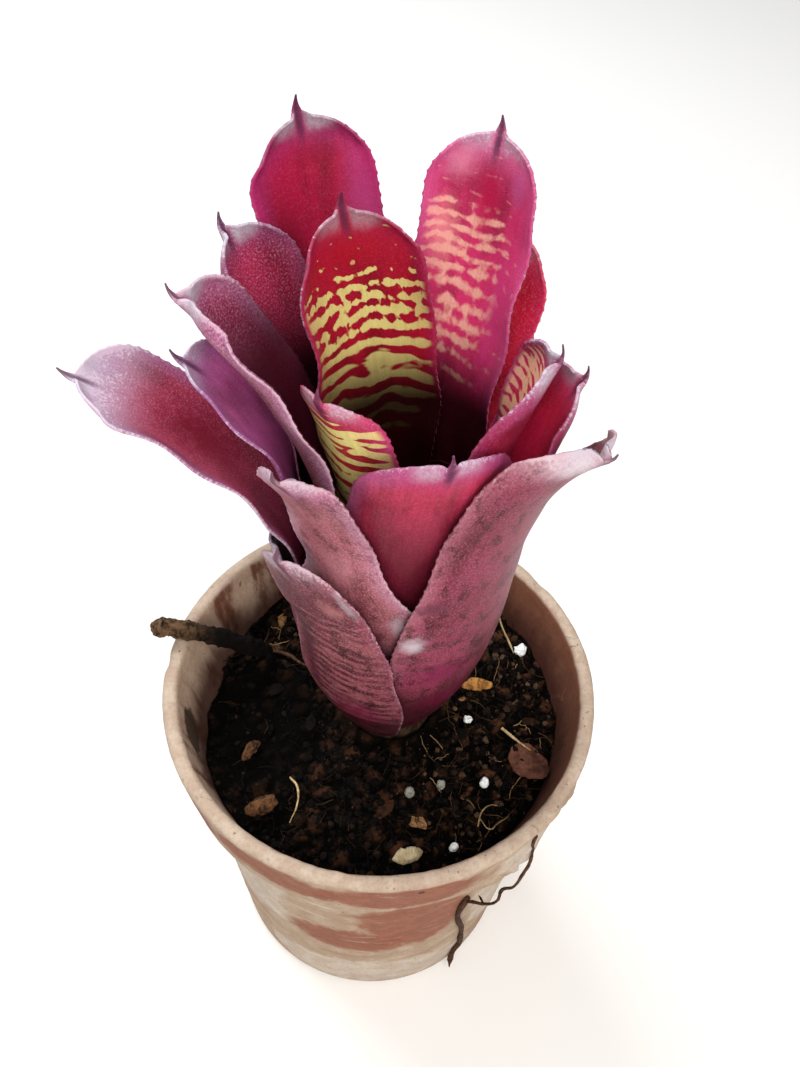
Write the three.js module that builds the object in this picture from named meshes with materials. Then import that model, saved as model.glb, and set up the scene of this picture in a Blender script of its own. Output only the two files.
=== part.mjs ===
// A small tank bromeliad in a clay pot, in millimetres, +Z up. The front is -Y.
// The pot stands on z = 0, and the middle of the whole thing's box lies on the Z axis.
import * as THREE from "three";

const GAP = 0.3; // clearance between pieces that touch on the real plant
const CENTRING = 4.6; // x of the pot's axis, because one leaf and the dead stub reach out at -X

// ---- pot ----
const RIM_RADIUS = 60; // outside of the rim
const POT_HEIGHT = 119;
const COLLAR_HEIGHT = 23;
const COLLAR_FOOT_RADIUS = 57.5; // outside of the collar at its lower edge
const SHOULDER_RADIUS = 53; // outside of the body just under the collar
const BASE_RADIUS = 45;
const WALL = 4.2;
const KNEE_HEIGHT = 91; // where the inside turns outwards, just below the collar
const FLOOR = 7;
const DRAIN_RADIUS = 7;
const EDGE = 1.3; // width of the softened edges
const POT_SIDES = 56;

// ---- soil ----
const SOIL_LEVEL = 104; // at the plant's foot
const SOIL_FALL = 2.5; // the soil lies this much lower at the pot's wall
const HOLLOW = { azimuth: 170, width: 55, depth: 7, from: 22 }; // sunken soil along the left wall
const LUMPS = 1.1; // height of the soil's lumps
const LEVEL_ROUND_PLANT = 15; // the lumps begin at this radius
const SOIL_SECTORS = 64;
const WALL_GAP = 0.4; // clearance to the pot's wall, which is made of flats
const SOIL_RINGS = [46.5, 42, 37.5, 33, 28.5, 24, 19.5, 15.5]; // radii that the surface is divided at

// ---- rosette ----
const PLANT = { x: 3, y: 3 }; // the rosette's axis, from the pot's
const STEM = { radius: 12.4, taper: 0.4, top: 24, depth: 20, sides: 16 }; // taper: radius lost per mm risen
const FOOT_LOWEST = 1.4; // height above the soil of the outermost leaf's foot
const FOOT_STEP = 2.1; // each layer springs this much higher than the next outer one
const FOOT_CLEARANCE = 0.5; // between the stem and a leaf's foot, level with it
const WAIST_HEIGHT = 58; // above the soil, where the sheaths end and the blades begin
const WAIST_RADIUS = 9; // of the innermost layer at the waist
const WAIST_STEP = 2; // each layer is this much wider than the next inner one
const OUTER_LAYER = 10;
const FLARE = 0.35; // the even part of a sheath's widening, the rest being near its foot
const BELLY = 2.2; // how early a sheath widens
const WRAP = 56; // degrees that a sheath reaches round the rosette to each side
const ROUND = 0.85; // length of a blade's rounded end, as a part of half its width

// ---- a leaf's skin ----
const FOOT_THICKNESS = 0.62;
const BLADE_THICKNESS = 1;
const END_THICKNESS = 0.8;
const MARGIN_THICKNESS = 0.62;
const TOOTH = 0.5; // the spines along a blade's margin, as a zigzag of its edge
const HORN = { length: 3.6, halfWidth: 0.7, taper: 0.35, channel: 4 }; // the horny point at a leaf's tip
const SHEATH_RINGS = 6;
const BLADE_RINGS = 13;
const STRAIGHT_RINGS = 8; // of the blade's rings, the ones before its rounded end
const HORN_RINGS = 2;
const ACROSS = 6; // facets across a leaf

// Every leaf, from the heart outwards. The layer counts outwards, and the azimuth is in degrees
// counter-clockwise from +X as seen from above. Radius and height place the tip, from the rosette's axis and
// from the soil line, and lean is how far the tip is from upright. Then come half the blade's width, half the
// waist's, and the radius that the blade is rolled to. Some also drift, so that the tip lies that much to the
// side, or roll, so that the tip's face is turned about its midline, or have a wrap of their own.
const LEAVES = [
  // name, finish, layer, azimuth, radius, height, lean, half, waist, channel
  ["heart_right", "bandedLeaf", 0, 20, 11, 96, 8, 7, 7, 10],
  ["heart_left", "bandedLeaf", 0, 200, 11, 86, 6, 7, 7, 10],
  ["inner_front", "bandedLeaf", 1, 238, 21.5, 132, 15, 11.5, 10, 14, { drift: -6.5 }],
  ["inner_back", "bandedLeaf", 1, 118, 21, 154, 10, 15.5, 9, 17, { drift: 6 }],
  ["back_right", "bandedLeaf", 2, 65, 34, 163, 12, 13, 11, 20],
  ["inner_right", "bandedLeaf", 3, 322, 25, 137, 9, 16, 17, 17, { drift: 14, roll: 30 }],
  ["left_middle", "redLeaf", 3, 190, 44, 149, 35, 13, 11, 14],
  ["left_high", "redLeaf", 4, 155, 43, 146, 22, 14, 12, 18],
  ["front_centre", "redLeaf", 5, 285, 26.6, 127, 12, 19, 18, 21, { drift: 2 }],
  ["back_left", "redLeaf", 5, 122, 50, 158, 16, 15, 13, 26],
  ["left_behind", "redLeaf", 6, 186, 45, 131, 45, 11, 12, 26],
  ["right_low", "redLeaf", 6, 8, 36, 124, 17, 16, 14, 20],
  ["back_far_right", "redLeaf", 7, 60, 42, 137, 14, 11.5, 13, 22],
  ["far_left", "redLeaf", 7, 181, 69, 121.5, 60, 13, 9.5, 20],
  ["front_left", "oldLeaf", 8, 248, 31.5, 119, 26, 9.5, 22, 24, { drift: -14 }],
  ["back_low_right", "redLeaf", 8, 68, 55, 110, 45, 13, 15, 24],
  ["front_right", "oldLeaf", 9, 317, 41, 125, 40, 17, 23, 27, { drift: 13, roll: -16 }],
  ["lower_back", "oldLeaf", 9, 194, 30.2, 80, 5, 12, 18, 28],
  ["lower_left", "oldLeaf", 10, 245, 31, 92, 5, 11, 13, 28, { drift: -14, wrap: 34 }],
  ["back_low", "redLeaf", 10, 108, 58, 84, 62, 13, 15, 24],
].map(([name, finish, layer, azimuth, radius, height, lean, half, waist, channel, extra]) => ({
  ...{ name, finish, layer, azimuth, radius, height, lean, half, waist, channel },
  ...{ drift: 0, roll: 0, wrap: WRAP },
  ...extra,
}));

// ---- what lies on the soil ----
const LAID_SIDES = 10;
const LAID_CLEARANCE = 0.35; // the soil's facets bulge up to this much above its formula
const LAID = [
  // name, finish, x, y, angle of its length, length, width, thickness, raggedness, how far one end stands up
  ["dry_leaf_scrap", "dryLeaf", 43.2, -14.4, -60, 13, 10, 0.9, 0.12, 1.5],
  ["pale_chip", "paleChip", 10.5, -44, 20, 8, 5, 1.6, 0.1, 0],
  ["bark_right", "bark", 28.5, 9, 15, 9, 4, 2.6, 0.1, 0],
  ["bark_left", "bark", -35, -16, 70, 7.5, 4, 2.4, 0.12, 0],
  ["bark_front", "bark", -30, -33, 35, 10, 5, 2.8, 0.1, 0],
  ["perlite_back", "perlite", 41.5, 23, 0, 4, 3.6, 2.8, 0.05, 0],
  ["perlite_side", "perlite", 25.8, -2.4, 30, 2.8, 2.6, 2, 0.05, 0],
  ["perlite_right", "perlite", 30.5, -22, 60, 3, 2.6, 2.1, 0.05, 0],
  ["perlite_middle", "perlite", 18.5, -23.5, 10, 2.6, 2.4, 1.9, 0.05, 0],
  ["perlite_left", "perlite", 10, -27, 80, 3, 2.8, 2.2, 0.05, 0],
  ["perlite_front", "perlite", 22.5, -41, 45, 2.8, 2.4, 2, 0.05, 0],
].map(([name, finish, x, y, angle, length, width, thick, ragged, lift]) => ({
  name, finish, x, y, angle, length, width, thick, ragged, lift,
}));

// The dead stub lies over the rim with its thick end outside and its other end on the soil.
const STUB = { radius: 2.8, steps: 14, sides: 10, thinning: 0.12, knots: 0.07 };
const STUB_PATH = [
  [-65.6, 9.4, 124.4],
  [-57.5, 10.2, 122.6],
  [-46, 11.6, 117.5],
  [-38, 14.4, 109.5],
  [-33, 17.6, 103.6],
];

const FINISHES = {
  clay: { color: 0xc9a184, roughness: 0.9 },
  soil: { color: 0x2a1a12, roughness: 1 },
  stem: { color: 0xb9a27a, roughness: 0.8 },
  bandedLeaf: { color: 0xb03a3f, roughness: 0.5 },
  redLeaf: { color: 0x8e1f45, roughness: 0.5 },
  oldLeaf: { color: 0x8d5361, roughness: 0.6 },
  bark: { color: 0x4a3526, roughness: 0.95 },
  dryLeaf: { color: 0x7a5434, roughness: 0.9 },
  paleChip: { color: 0xcdb89a, roughness: 0.9 },
  perlite: { color: 0xe9ebe8, roughness: 0.9 },
};

const rad = THREE.MathUtils.degToRad;
const lerp = THREE.MathUtils.lerp;
const smooth = (x, low, high) => THREE.MathUtils.smoothstep(x, low, high);
const point = (x, y, z) => new THREE.Vector3(x, y, z);

// ---- closed skins ----
// A closed solid between rings of points. A ring of one point is a pole, and an end that is open is closed
// from side to side.
function skin(rings) {
  const starts = [];
  let total = 0;
  for (const ring of rings) {
    starts.push(total);
    total += ring.length;
  }
  const index = [];
  for (let i = 0; i + 1 < rings.length; i++) {
    const count = Math.max(rings[i].length, rings[i + 1].length);
    for (let j = 0; j < count; j++) {
      const next = (j + 1) % count;
      const [low, high] = [starts[i], starts[i + 1]];
      if (rings[i].length === 1) index.push(low, high + next, high + j);
      else if (rings[i + 1].length === 1) index.push(low + j, low + next, high);
      else index.push(low + j, low + next, high + next, low + j, high + next, high + j);
    }
  }
  index.push(...endFaces(starts[0], rings[0].length).reverse());
  index.push(...endFaces(starts.at(-1), rings.at(-1).length));
  const position = rings.flat().flatMap((p) => p.toArray());
  const geometry = new THREE.BufferGeometry();
  geometry.setAttribute("position", new THREE.Float32BufferAttribute(position, 3));
  geometry.setIndex(index);
  geometry.computeVertexNormals();
  return geometry;
}

// Triangles across a flat strip whose outer side is the ring's first half and whose inner side is the second.
function endFaces(first, count) {
  const faces = [];
  for (let j = 0; j < count / 2 - 1; j++) {
    const back = first + count - 1 - j;
    faces.push(first + j, first + j + 1, back, first + j + 1, back - 1, back);
  }
  return faces;
}

function ringAround(sides, at) {
  return Array.from({ length: sides }, (_, j) => at((2 * Math.PI * j) / sides, j));
}

function piece(name, geometry, finish) {
  const material = new THREE.MeshStandardMaterial({ metalness: 0, ...FINISHES[finish] });
  const mesh = new THREE.Mesh(geometry, material);
  mesh.name = name;
  return mesh;
}

// ---- pot ----
// The inside of its wall from the floor up, as radius and height.
const WALL_INSIDE = [
  [BASE_RADIUS - WALL, FLOOR],
  [SHOULDER_RADIUS - WALL, KNEE_HEIGHT],
  [RIM_RADIUS - WALL, POT_HEIGHT - EDGE],
];

function potGeometry() {
  const inner = RIM_RADIUS - WALL;
  const collarFoot = POT_HEIGHT - COLLAR_HEIGHT;
  const profile = [
    [DRAIN_RADIUS, 0],
    [BASE_RADIUS - EDGE, 0],
    [BASE_RADIUS, EDGE],
    [SHOULDER_RADIUS, collarFoot],
    [COLLAR_FOOT_RADIUS - EDGE, collarFoot],
    [COLLAR_FOOT_RADIUS, collarFoot + EDGE],
    [RIM_RADIUS, POT_HEIGHT - EDGE],
    [RIM_RADIUS - EDGE, POT_HEIGHT],
    [inner + EDGE, POT_HEIGHT],
    ...WALL_INSIDE.toReversed(),
    [DRAIN_RADIUS, FLOOR],
    [DRAIN_RADIUS, 0],
  ];
  const outline = profile.map(([r, z]) => new THREE.Vector2(r, z));
  return new THREE.LatheGeometry(outline, POT_SIDES).rotateX(Math.PI / 2);
}

function wallRadius(height) {
  const [[r0, z0], [r1, z1]] = height < KNEE_HEIGHT ? WALL_INSIDE.slice(0, 2) : WALL_INSIDE.slice(1);
  return lerp(r0, r1, (height - z0) / (z1 - z0));
}

// ---- soil ----
// Its surface falls to the wall, has sunk at the left, and is lumpy away from the plant.
function soilHeight(x, y) {
  const r = Math.hypot(x, y);
  const turn = THREE.MathUtils.euclideanModulo(Math.atan2(y, x) / rad(1) - HOLLOW.azimuth + 180, 360) - 180;
  const sunk = (1 - smooth(Math.abs(turn), 0, HOLLOW.width)) * smooth(r, HOLLOW.from, RIM_RADIUS - WALL);
  const broad = Math.sin(0.37 * x + 1.1) * Math.cos(0.34 * y);
  const fine = 0.4 * Math.sin(0.47 * x - 0.3 * y) * Math.cos(0.43 * y + 2);
  const lumps = LUMPS * (broad + fine) * smooth(r, LEVEL_ROUND_PLANT, LEVEL_ROUND_PLANT + 8);
  return SOIL_LEVEL - SOIL_FALL * smooth(r, LEVEL_ROUND_PLANT, RIM_RADIUS) - HOLLOW.depth * sunk + lumps;
}

function soilRing(x, y, radius, height) {
  return ringAround(SOIL_SECTORS, (angle) => {
    const at = [x + radius * Math.cos(angle), y + radius * Math.sin(angle)];
    return point(...at, height ?? soilHeight(...at));
  });
}

// The soil fills the pot, and has a plain hole for the stem.
function soilGeometry() {
  const floor = FLOOR + GAP;
  const holeRadius = STEM.radius + GAP;
  const holeBottom = SOIL_LEVEL - STEM.depth - GAP;
  const againstWall = ({ x, y }, z) => {
    const inward = (wallRadius(z) - WALL_GAP) / Math.hypot(x, y);
    return point(x * inward, y * inward, z);
  };
  const shore = soilRing(0, 0, wallRadius(SOIL_LEVEL), null).map((v) => againstWall(v, v.z));
  const surface = SOIL_RINGS.map((radius) => {
    const shift = 1 - smooth(radius, SOIL_RINGS.at(-1), SOIL_RINGS[0]);
    return soilRing(PLANT.x * shift, PLANT.y * shift, radius, null);
  });
  return skin([
    [point(0, 0, floor)],
    soilRing(0, 0, wallRadius(floor) - WALL_GAP, floor),
    soilRing(0, 0, wallRadius(KNEE_HEIGHT) - WALL_GAP, KNEE_HEIGHT),
    shore,
    ...surface,
    soilRing(PLANT.x, PLANT.y, holeRadius, null),
    soilRing(PLANT.x, PLANT.y, holeRadius, holeBottom),
    [point(PLANT.x, PLANT.y, holeBottom)],
  ]);
}

// ---- what lies on the soil ----
// A lump or flake that follows the soil under it. Its outline is a ragged ellipse.
function laidGeometry({ x, y, angle, length, width, thick, ragged, lift }) {
  const level = (reach, height) => ringAround(LAID_SIDES, (turn, j) => {
    const edge = reach * (1 + ragged * Math.sin(3.3 * turn + x) * (j % 2 ? 1 : -0.6));
    const along = (edge * length * Math.cos(turn)) / 2;
    const across = (edge * width * Math.sin(turn)) / 2;
    const spot = new THREE.Vector2(along, across).rotateAround(new THREE.Vector2(), rad(angle));
    const at = [x + spot.x, y + spot.y];
    const raised = lift * (2 * Math.max(0, along / length + 0.2)) ** 2;
    return point(...at, soilHeight(...at) + GAP + LAID_CLEARANCE + raised + height);
  });
  const middle = (ring) => [ring.reduce((sum, v) => sum.add(v), point(0, 0, 0)).divideScalar(LAID_SIDES)];
  const [foot, waist, top] = [level(0.8, 0), level(1, 0.45 * thick), level(0.7, thick)];
  return skin([middle(foot), foot, waist, top, middle(top)]);
}

// A knotty round stick along its path, with blunt ends.
function stubGeometry() {
  const path = new THREE.CatmullRomCurve3(STUB_PATH.map((p) => point(...p)));
  const rings = [[path.getPoint(0)]];
  for (let i = 0; i <= STUB.steps; i++) {
    const t = lerp(0.02, 0.98, i / STUB.steps);
    const blunt = Math.sqrt(Math.min(1, t / 0.09) * Math.min(1, (1 - t) / 0.2));
    const radius = STUB.radius * blunt * (1 - STUB.thinning * t + STUB.knots * Math.sin(2.1 * i));
    const tangent = path.getTangent(t);
    const side = point(0, 0, 1).cross(tangent).normalize();
    const up = tangent.clone().cross(side);
    rings.push(ringAround(STUB.sides, (turn) => {
      const place = path.getPoint(t).addScaledVector(side, radius * Math.cos(turn));
      return place.addScaledVector(up, radius * Math.sin(turn));
    }));
  }
  return skin([...rings, [path.getPoint(1)]]);
}

// ---- stem ----
const stemRadius = (height) => STEM.radius - STEM.taper * height;

// A short stump: a plug in the soil's hole, and a cone above it that the leaves spring from.
function stemGeometry() {
  const { top, depth, sides } = STEM;
  const plug = STEM.radius - GAP;
  const profile = [
    [plug - 1, -depth],
    [plug, 2 - depth],
    [plug, -1],
    [stemRadius(0), 0],
    [stemRadius(top - 2), top - 2],
  ];
  const ring = (r, z) => ringAround(sides, (turn) => point(r * Math.cos(turn), r * Math.sin(turn), z));
  const rings = [[point(0, 0, -depth)], ...profile.map(([r, z]) => ring(r, z)), [point(0, 0, top)]];
  return skin(rings).translate(PLANT.x, PLANT.y, SOIL_LEVEL);
}

// ---- leaves ----
// A leaf's midline in its own upright plane: x is the distance from the rosette's axis, and y is the height
// above the soil.
function midline(leaf) {
  const footHeight = FOOT_LOWEST + FOOT_STEP * (OUTER_LAYER - leaf.layer);
  const foot = new THREE.Vector2(stemRadius(footHeight) + FOOT_CLEARANCE + FOOT_THICKNESS / 2, footHeight);
  const waist = new THREE.Vector2(WAIST_RADIUS + WAIST_STEP * leaf.layer, WAIST_HEIGHT);
  const widening = (u) => FLARE * u + (1 - FLARE) * (1 - (1 - u) ** BELLY);
  const sheath = (u) => new THREE.Vector2(lerp(foot.x, waist.x, widening(u)), lerp(foot.y, waist.y, u));
  const tip = new THREE.Vector2(leaf.radius, leaf.height);
  const handle = 0.4 * waist.distanceTo(tip);
  const leaving = new THREE.Vector2(FLARE * (waist.x - foot.x), waist.y - foot.y).setLength(handle);
  const arriving = new THREE.Vector2(Math.sin(rad(leaf.lean)), Math.cos(rad(leaf.lean))).setLength(handle);
  const blade = new THREE.CubicBezierCurve(waist, waist.clone().add(leaving), tip.clone().sub(arriving), tip);
  return { sheath, blade, tip, ahead: arriving.normalize() };
}

// One cross-section: the outer face from side to side, then the inner face back. The leaf is rolled about an
// axis that lies on its inner side, at the channel's radius.
function leafRing({ place, outward, along }, halfWidth, channel, thickness, tooth) {
  const sideways = along.clone().cross(outward);
  const centre = place.clone().addScaledVector(outward, -channel);
  const outer = [];
  const inner = [];
  for (let j = 0; j <= ACROSS; j++) {
    const u = (2 * j) / ACROSS - 1;
    const angle = ((halfWidth + (Math.abs(u) === 1 ? tooth : 0)) * u) / channel;
    const thick = lerp(thickness, Math.min(thickness, MARGIN_THICKNESS), u * u) / 2;
    const radial = outward.clone().multiplyScalar(Math.cos(angle));
    radial.addScaledVector(sideways, Math.sin(angle));
    outer.push(centre.clone().addScaledVector(radial, channel + thick));
    inner.unshift(centre.clone().addScaledVector(radial, channel - thick));
  }
  return [...outer, ...inner];
}

// Where a cross-section lies, for a leaf whose plane is the XZ plane.
function section(leaf, spot, lean, t) {
  const along = point(Math.sin(lean), 0, Math.cos(lean));
  const outward = point(Math.cos(lean), 0, -Math.sin(lean)).applyAxisAngle(along, rad(leaf.roll * t * t));
  return { place: point(spot.x, leaf.drift * t * t, spot.y), outward, along };
}

function sheathRings(leaf, { sheath }) {
  return Array.from({ length: SHEATH_RINGS }, (_, i) => {
    const u = i / SHEATH_RINGS;
    const spot = sheath(u);
    const wrapped = rad(leaf.wrap) * spot.x;
    const halfWidth = lerp(wrapped, Math.min(wrapped, leaf.waist), smooth(u, 0.45, 1));
    const thickness = lerp(FOOT_THICKNESS, BLADE_THICKNESS, smooth(u, 0.1, 1));
    return leafRing(section(leaf, spot, 0, 0), halfWidth, spot.x, thickness, 0);
  });
}

// Half the width of a blade at t, from 0 at the waist to 1 at the tip: parallel-sided, then rounded.
function bladeHalfWidth(leaf, t, roundStart) {
  const body = lerp(leaf.waist, leaf.half, smooth(t, 0, 0.55));
  const round = Math.max(0, (t - roundStart) / (1 - roundStart));
  return Math.max(HORN.halfWidth, body * Math.sqrt(1 - round * round));
}

function bladeRings(leaf, { blade }) {
  const roundStart = 1 - (ROUND * leaf.half) / blade.getLength();
  return Array.from({ length: BLADE_RINGS + 1 }, (_, i) => {
    const turn = Math.max(0, (i - STRAIGHT_RINGS) / (BLADE_RINGS - STRAIGHT_RINGS));
    const round = Math.sin((Math.PI / 2) * turn);
    const t = i < STRAIGHT_RINGS ? (roundStart * i) / STRAIGHT_RINGS : lerp(roundStart, 1, round);
    const tangent = blade.getTangent(t);
    const lean = Math.atan2(tangent.x, tangent.y) * smooth(t, 0, 0.35);
    const channel = lerp(blade.v0.x, leaf.channel, smooth(t, 0, 0.5));
    const halfWidth = bladeHalfWidth(leaf, t, roundStart);
    const tooth = halfWidth > 4 * TOOTH ? TOOTH * (i % 2 ? 1 : -1) : 0;
    const place = section(leaf, blade.getPoint(t), lean, t);
    return leafRing(place, halfWidth, channel, lerp(BLADE_THICKNESS, END_THICKNESS, t), tooth);
  });
}

function hornRings(leaf, { tip, ahead }) {
  return Array.from({ length: HORN_RINGS }, (_, i) => {
    const spot = tip.clone().addScaledVector(ahead, (HORN.length * (i + 1)) / HORN_RINGS);
    const halfWidth = HORN.halfWidth * (1 - HORN.taper * (i + 1));
    return leafRing(section(leaf, spot, rad(leaf.lean), 1), halfWidth, HORN.channel, MARGIN_THICKNESS, 0);
  });
}

function leafGeometry(leaf) {
  const line = midline(leaf);
  const geometry = skin([...sheathRings(leaf, line), ...bladeRings(leaf, line), ...hornRings(leaf, line)]);
  return geometry.rotateZ(rad(leaf.azimuth)).translate(PLANT.x, PLANT.y, SOIL_LEVEL);
}

const bromeliad = new THREE.Group();
bromeliad.position.x = CENTRING;
bromeliad.add(piece("pot", potGeometry(), "clay"));
bromeliad.add(piece("soil", soilGeometry(), "soil"));
bromeliad.add(piece("stem", stemGeometry(), "stem"));
bromeliad.add(piece("dead_stub", stubGeometry(), "bark"));
for (const laid of LAID) bromeliad.add(piece(laid.name, laidGeometry(laid), laid.finish));
for (const leaf of LEAVES) bromeliad.add(piece("leaf_" + leaf.name, leafGeometry(leaf), leaf.finish));

export default bromeliad;
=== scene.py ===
# A small tank bromeliad in a clay pot. Metres, +Z up, the front is -Y; sizes in the dictionaries are in mm.
import math
import random

import bpy
import numpy as np
from mathutils import Matrix, Vector, noise


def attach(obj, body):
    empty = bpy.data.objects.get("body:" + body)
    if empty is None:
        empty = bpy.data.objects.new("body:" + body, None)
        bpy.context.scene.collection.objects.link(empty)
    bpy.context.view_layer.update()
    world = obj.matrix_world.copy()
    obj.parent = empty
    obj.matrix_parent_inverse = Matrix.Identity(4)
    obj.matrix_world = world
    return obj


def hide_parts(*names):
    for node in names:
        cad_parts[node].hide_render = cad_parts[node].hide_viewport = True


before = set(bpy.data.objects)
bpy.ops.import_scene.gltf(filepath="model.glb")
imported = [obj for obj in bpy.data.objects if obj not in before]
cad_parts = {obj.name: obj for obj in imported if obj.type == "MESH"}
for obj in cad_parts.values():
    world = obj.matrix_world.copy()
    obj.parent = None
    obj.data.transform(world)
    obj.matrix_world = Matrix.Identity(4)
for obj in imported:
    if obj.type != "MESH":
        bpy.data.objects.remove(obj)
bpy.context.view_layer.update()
mm = 0.001
potX = 4.6  # the pot's axis is at this x and y 0
plantOff = 3.0  # the plant's axis stands off the pot's by this much, both in x and in y
print("frame loaded:", len(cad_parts), "nodes")


# ---- small helpers ----
def lerp(a, b, t):
    return a + (b - a) * t


def smooth(x, low, high):
    t = np.clip((np.asarray(x, float) - low) / (high - low), 0, 1)
    return t * t * (3 - 2 * t)


def paint(code):  # "c9a184" to a linear colour
    channels = [int(code[i : i + 2], 16) / 255 for i in (0, 2, 4)]
    return [c / 12.92 if c <= 0.04045 else ((c + 0.055) / 1.055) ** 2.4 for c in channels] + [1.0]


def setMode(mode):
    bpy.ops.object.mode_set(mode=mode)


def choose(action):  # within a mesh
    bpy.ops.mesh.select_all(action=action)


def clearSelection():
    if bpy.context.object and bpy.context.object.mode != "OBJECT":
        setMode("OBJECT")
    bpy.ops.object.select_all(action="DESELECT")


def makeActive(piece):
    clearSelection()
    bpy.context.view_layer.objects.active = piece
    piece.select_set(True)


def newObject(name, data):
    made = bpy.data.objects.new(name, data)
    bpy.context.scene.collection.objects.link(made)
    return made


def readPoints(piece):
    points = np.empty(len(piece.data.vertices) * 3)
    piece.data.vertices.foreach_get("co", points)
    return points.reshape(-1, 3)


def writePoints(piece, points):
    piece.data.vertices.foreach_set("co", np.asarray(points, float).ravel())
    piece.data.update()


def addAttribute(piece, name, values, kind="FLOAT_VECTOR"):
    attribute = piece.data.attributes.new(name, kind, "POINT")
    attribute.data.foreach_set("vector" if kind == "FLOAT_VECTOR" else "value",
                               np.asarray(values, float).ravel())


def dropPlace(piece):  # the place goes into the mesh, and the object back to the origin
    makeActive(piece)
    bpy.ops.object.transform_apply(location=True, rotation=True, scale=True)


def closeMesh():  # ends the edit of a closed mesh, with its faces turned outwards
    choose("SELECT")
    bpy.ops.mesh.normals_make_consistent(inside=False)
    setMode("OBJECT")


def finishPiece(piece, name, material, nodes=(), sharpAngle=60):
    piece.name = name
    piece.data.name = name
    makeActive(piece)
    bpy.ops.object.shade_smooth_by_angle(angle=math.radians(sharpAngle))
    piece.data.materials.clear()
    piece.data.materials.append(material)
    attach(piece, "root")
    if nodes:
        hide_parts(*nodes)


# ---- shader helpers ----
class Wire:  # the start of a link, so that masks and values can be written as sums and products
    def __init__(self, tree, socket):
        self.tree, self.socket = tree, socket

    def __add__(self, other):
        return maths("ADD", self, other)

    def __radd__(self, other):
        return maths("ADD", other, self)

    def __sub__(self, other):
        return maths("SUBTRACT", self, other)

    def __rsub__(self, other):
        return maths("SUBTRACT", other, self)

    def __mul__(self, other):
        return maths("MULTIPLY", self, other)

    def __truediv__(self, other):
        return maths("DIVIDE", self, other)


def feed(tree, socket, value):  # a wire is linked; a colour's code or a value is set on the socket
    if isinstance(value, Wire):
        tree.links.new(value.socket, socket)
    else:
        socket.default_value = paint(value) if isinstance(value, str) else value


def shader(kind, feeds, **settings):  # a node in the tree of the wires that feed it; gives its outputs
    tree = next(value.tree for value in feeds.values() if isinstance(value, Wire))
    made = tree.nodes.new("ShaderNode" + kind)
    for key, value in settings.items():
        setattr(made, key, value)
    for key, value in feeds.items():
        feed(tree, made.inputs[key], value)
    return [Wire(tree, socket) for socket in made.outputs]


def maths(operation, a, b=0.0, clamp=False):
    return shader("Math", {0: a, 1: b}, operation=operation, use_clamp=clamp)[0]


def ramp(value, low, high, start=0.0, end=1.0):  # a smooth step from start to end
    feeds = {"Value": value, "From Min": low, "From Max": high, "To Min": start, "To Max": end}
    return shader("MapRange", feeds, interpolation_type="SMOOTHSTEP")[0]


def blend(factor, a, b, how="MIX"):
    return shader("Mix", {0: factor, 6: a, 7: b}, data_type="RGBA", blend_type=how, clamp_factor=True)[2]


def tinted(face, colour):
    return blend(1.0, face, colour, "MULTIPLY")


def blendValue(factor, a, b):
    return shader("Mix", {0: factor, 2: a, 3: b}, data_type="FLOAT")[0]


def stretch(vector, scale, shift=(0, 0, 0)):
    return shader("Mapping", {"Vector": vector, "Location": shift, "Scale": scale})[0]


def grain(vector, scale, detail=2.0, rough=0.5, warp=0.0, shift=(0, 0, 0)):
    if isinstance(scale, tuple):
        vector, scale = stretch(vector, scale, shift), 1
    feeds = {"Vector": vector, "Scale": scale, "Detail": detail, "Roughness": rough, "Distortion": warp}
    return shader("TexNoise", feeds)[0]


def split(vector):
    return shader("SeparateXYZ", {0: vector})


def join(x, y, z=0.0):
    return shader("CombineXYZ", {0: x, 1: y, 2: z})[0]


def length(vector):
    return shader("VectorMath", {0: vector}, operation="LENGTH")[1]


def attribute(tree, name, output):
    made = tree.nodes.new("ShaderNodeAttribute")
    made.attribute_name = name
    return Wire(tree, made.outputs[output])


def newGroup(name, inputs, outputs):  # the inputs and the outputs are lists of names by kind
    group = bpy.data.node_groups.new(name, "ShaderNodeTree")
    for way, asked in (("INPUT", inputs), ("OUTPUT", outputs)):
        for kind, label in [(kind, label) for kind, labels in asked.items() for label in labels]:
            group.interface.new_socket(name=label, in_out=way, socket_type="NodeSocket" + kind)
    given, out = group.nodes.new("NodeGroupInput"), group.nodes.new("NodeGroupOutput")
    return group, {socket.name: Wire(group, socket) for socket in given.outputs}, out.inputs


def patchGroup(name, texture, middle, low, high):  # the mask of an uneven patch round a point
    group, take, out = newGroup(name, {"Vector": ["place", "centre", "size"], "Float": ["ragged"]},
                                {"Float": ["Mask"]})
    away = shader("VectorMath", {0: take["place"], 1: take["centre"]}, operation="SUBTRACT")[0]
    away = shader("VectorMath", {0: away, 1: take["size"]}, operation="DIVIDE")[0]
    rough = (grain(take["place"], *texture) - middle) * take["ragged"]
    feed(group, out["Mask"], ramp(length(away) + rough, low, high, 1, 0))
    return group


def patch(group, place, centre, size, ragged):
    feeds = {"place": place, "centre": centre, "size": size, "ragged": ragged}
    return shader("Group", feeds, node_tree=group)[0]


def newMaterial(name):
    material = bpy.data.materials.new(name)
    material.use_nodes = True
    return material, material.node_tree, material.node_tree.nodes["Principled BSDF"]


def surfacePlace(tree):  # the piece's own place, in mm
    return stretch(Wire(tree, tree.nodes.new("ShaderNodeTexCoord").outputs["Object"]), (1 / mm,) * 3)


def dress(bsdf, face, roughness, specular, height, strength, distance):
    bump = shader("Bump", {"Height": height, "Strength": strength, "Distance": distance * mm})[0]
    feeds = {"Base Color": face, "Roughness": roughness, "Specular IOR Level": specular, "Normal": bump}
    for key, value in feeds.items():
        feed(face.tree, bsdf.inputs[key], value)


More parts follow.
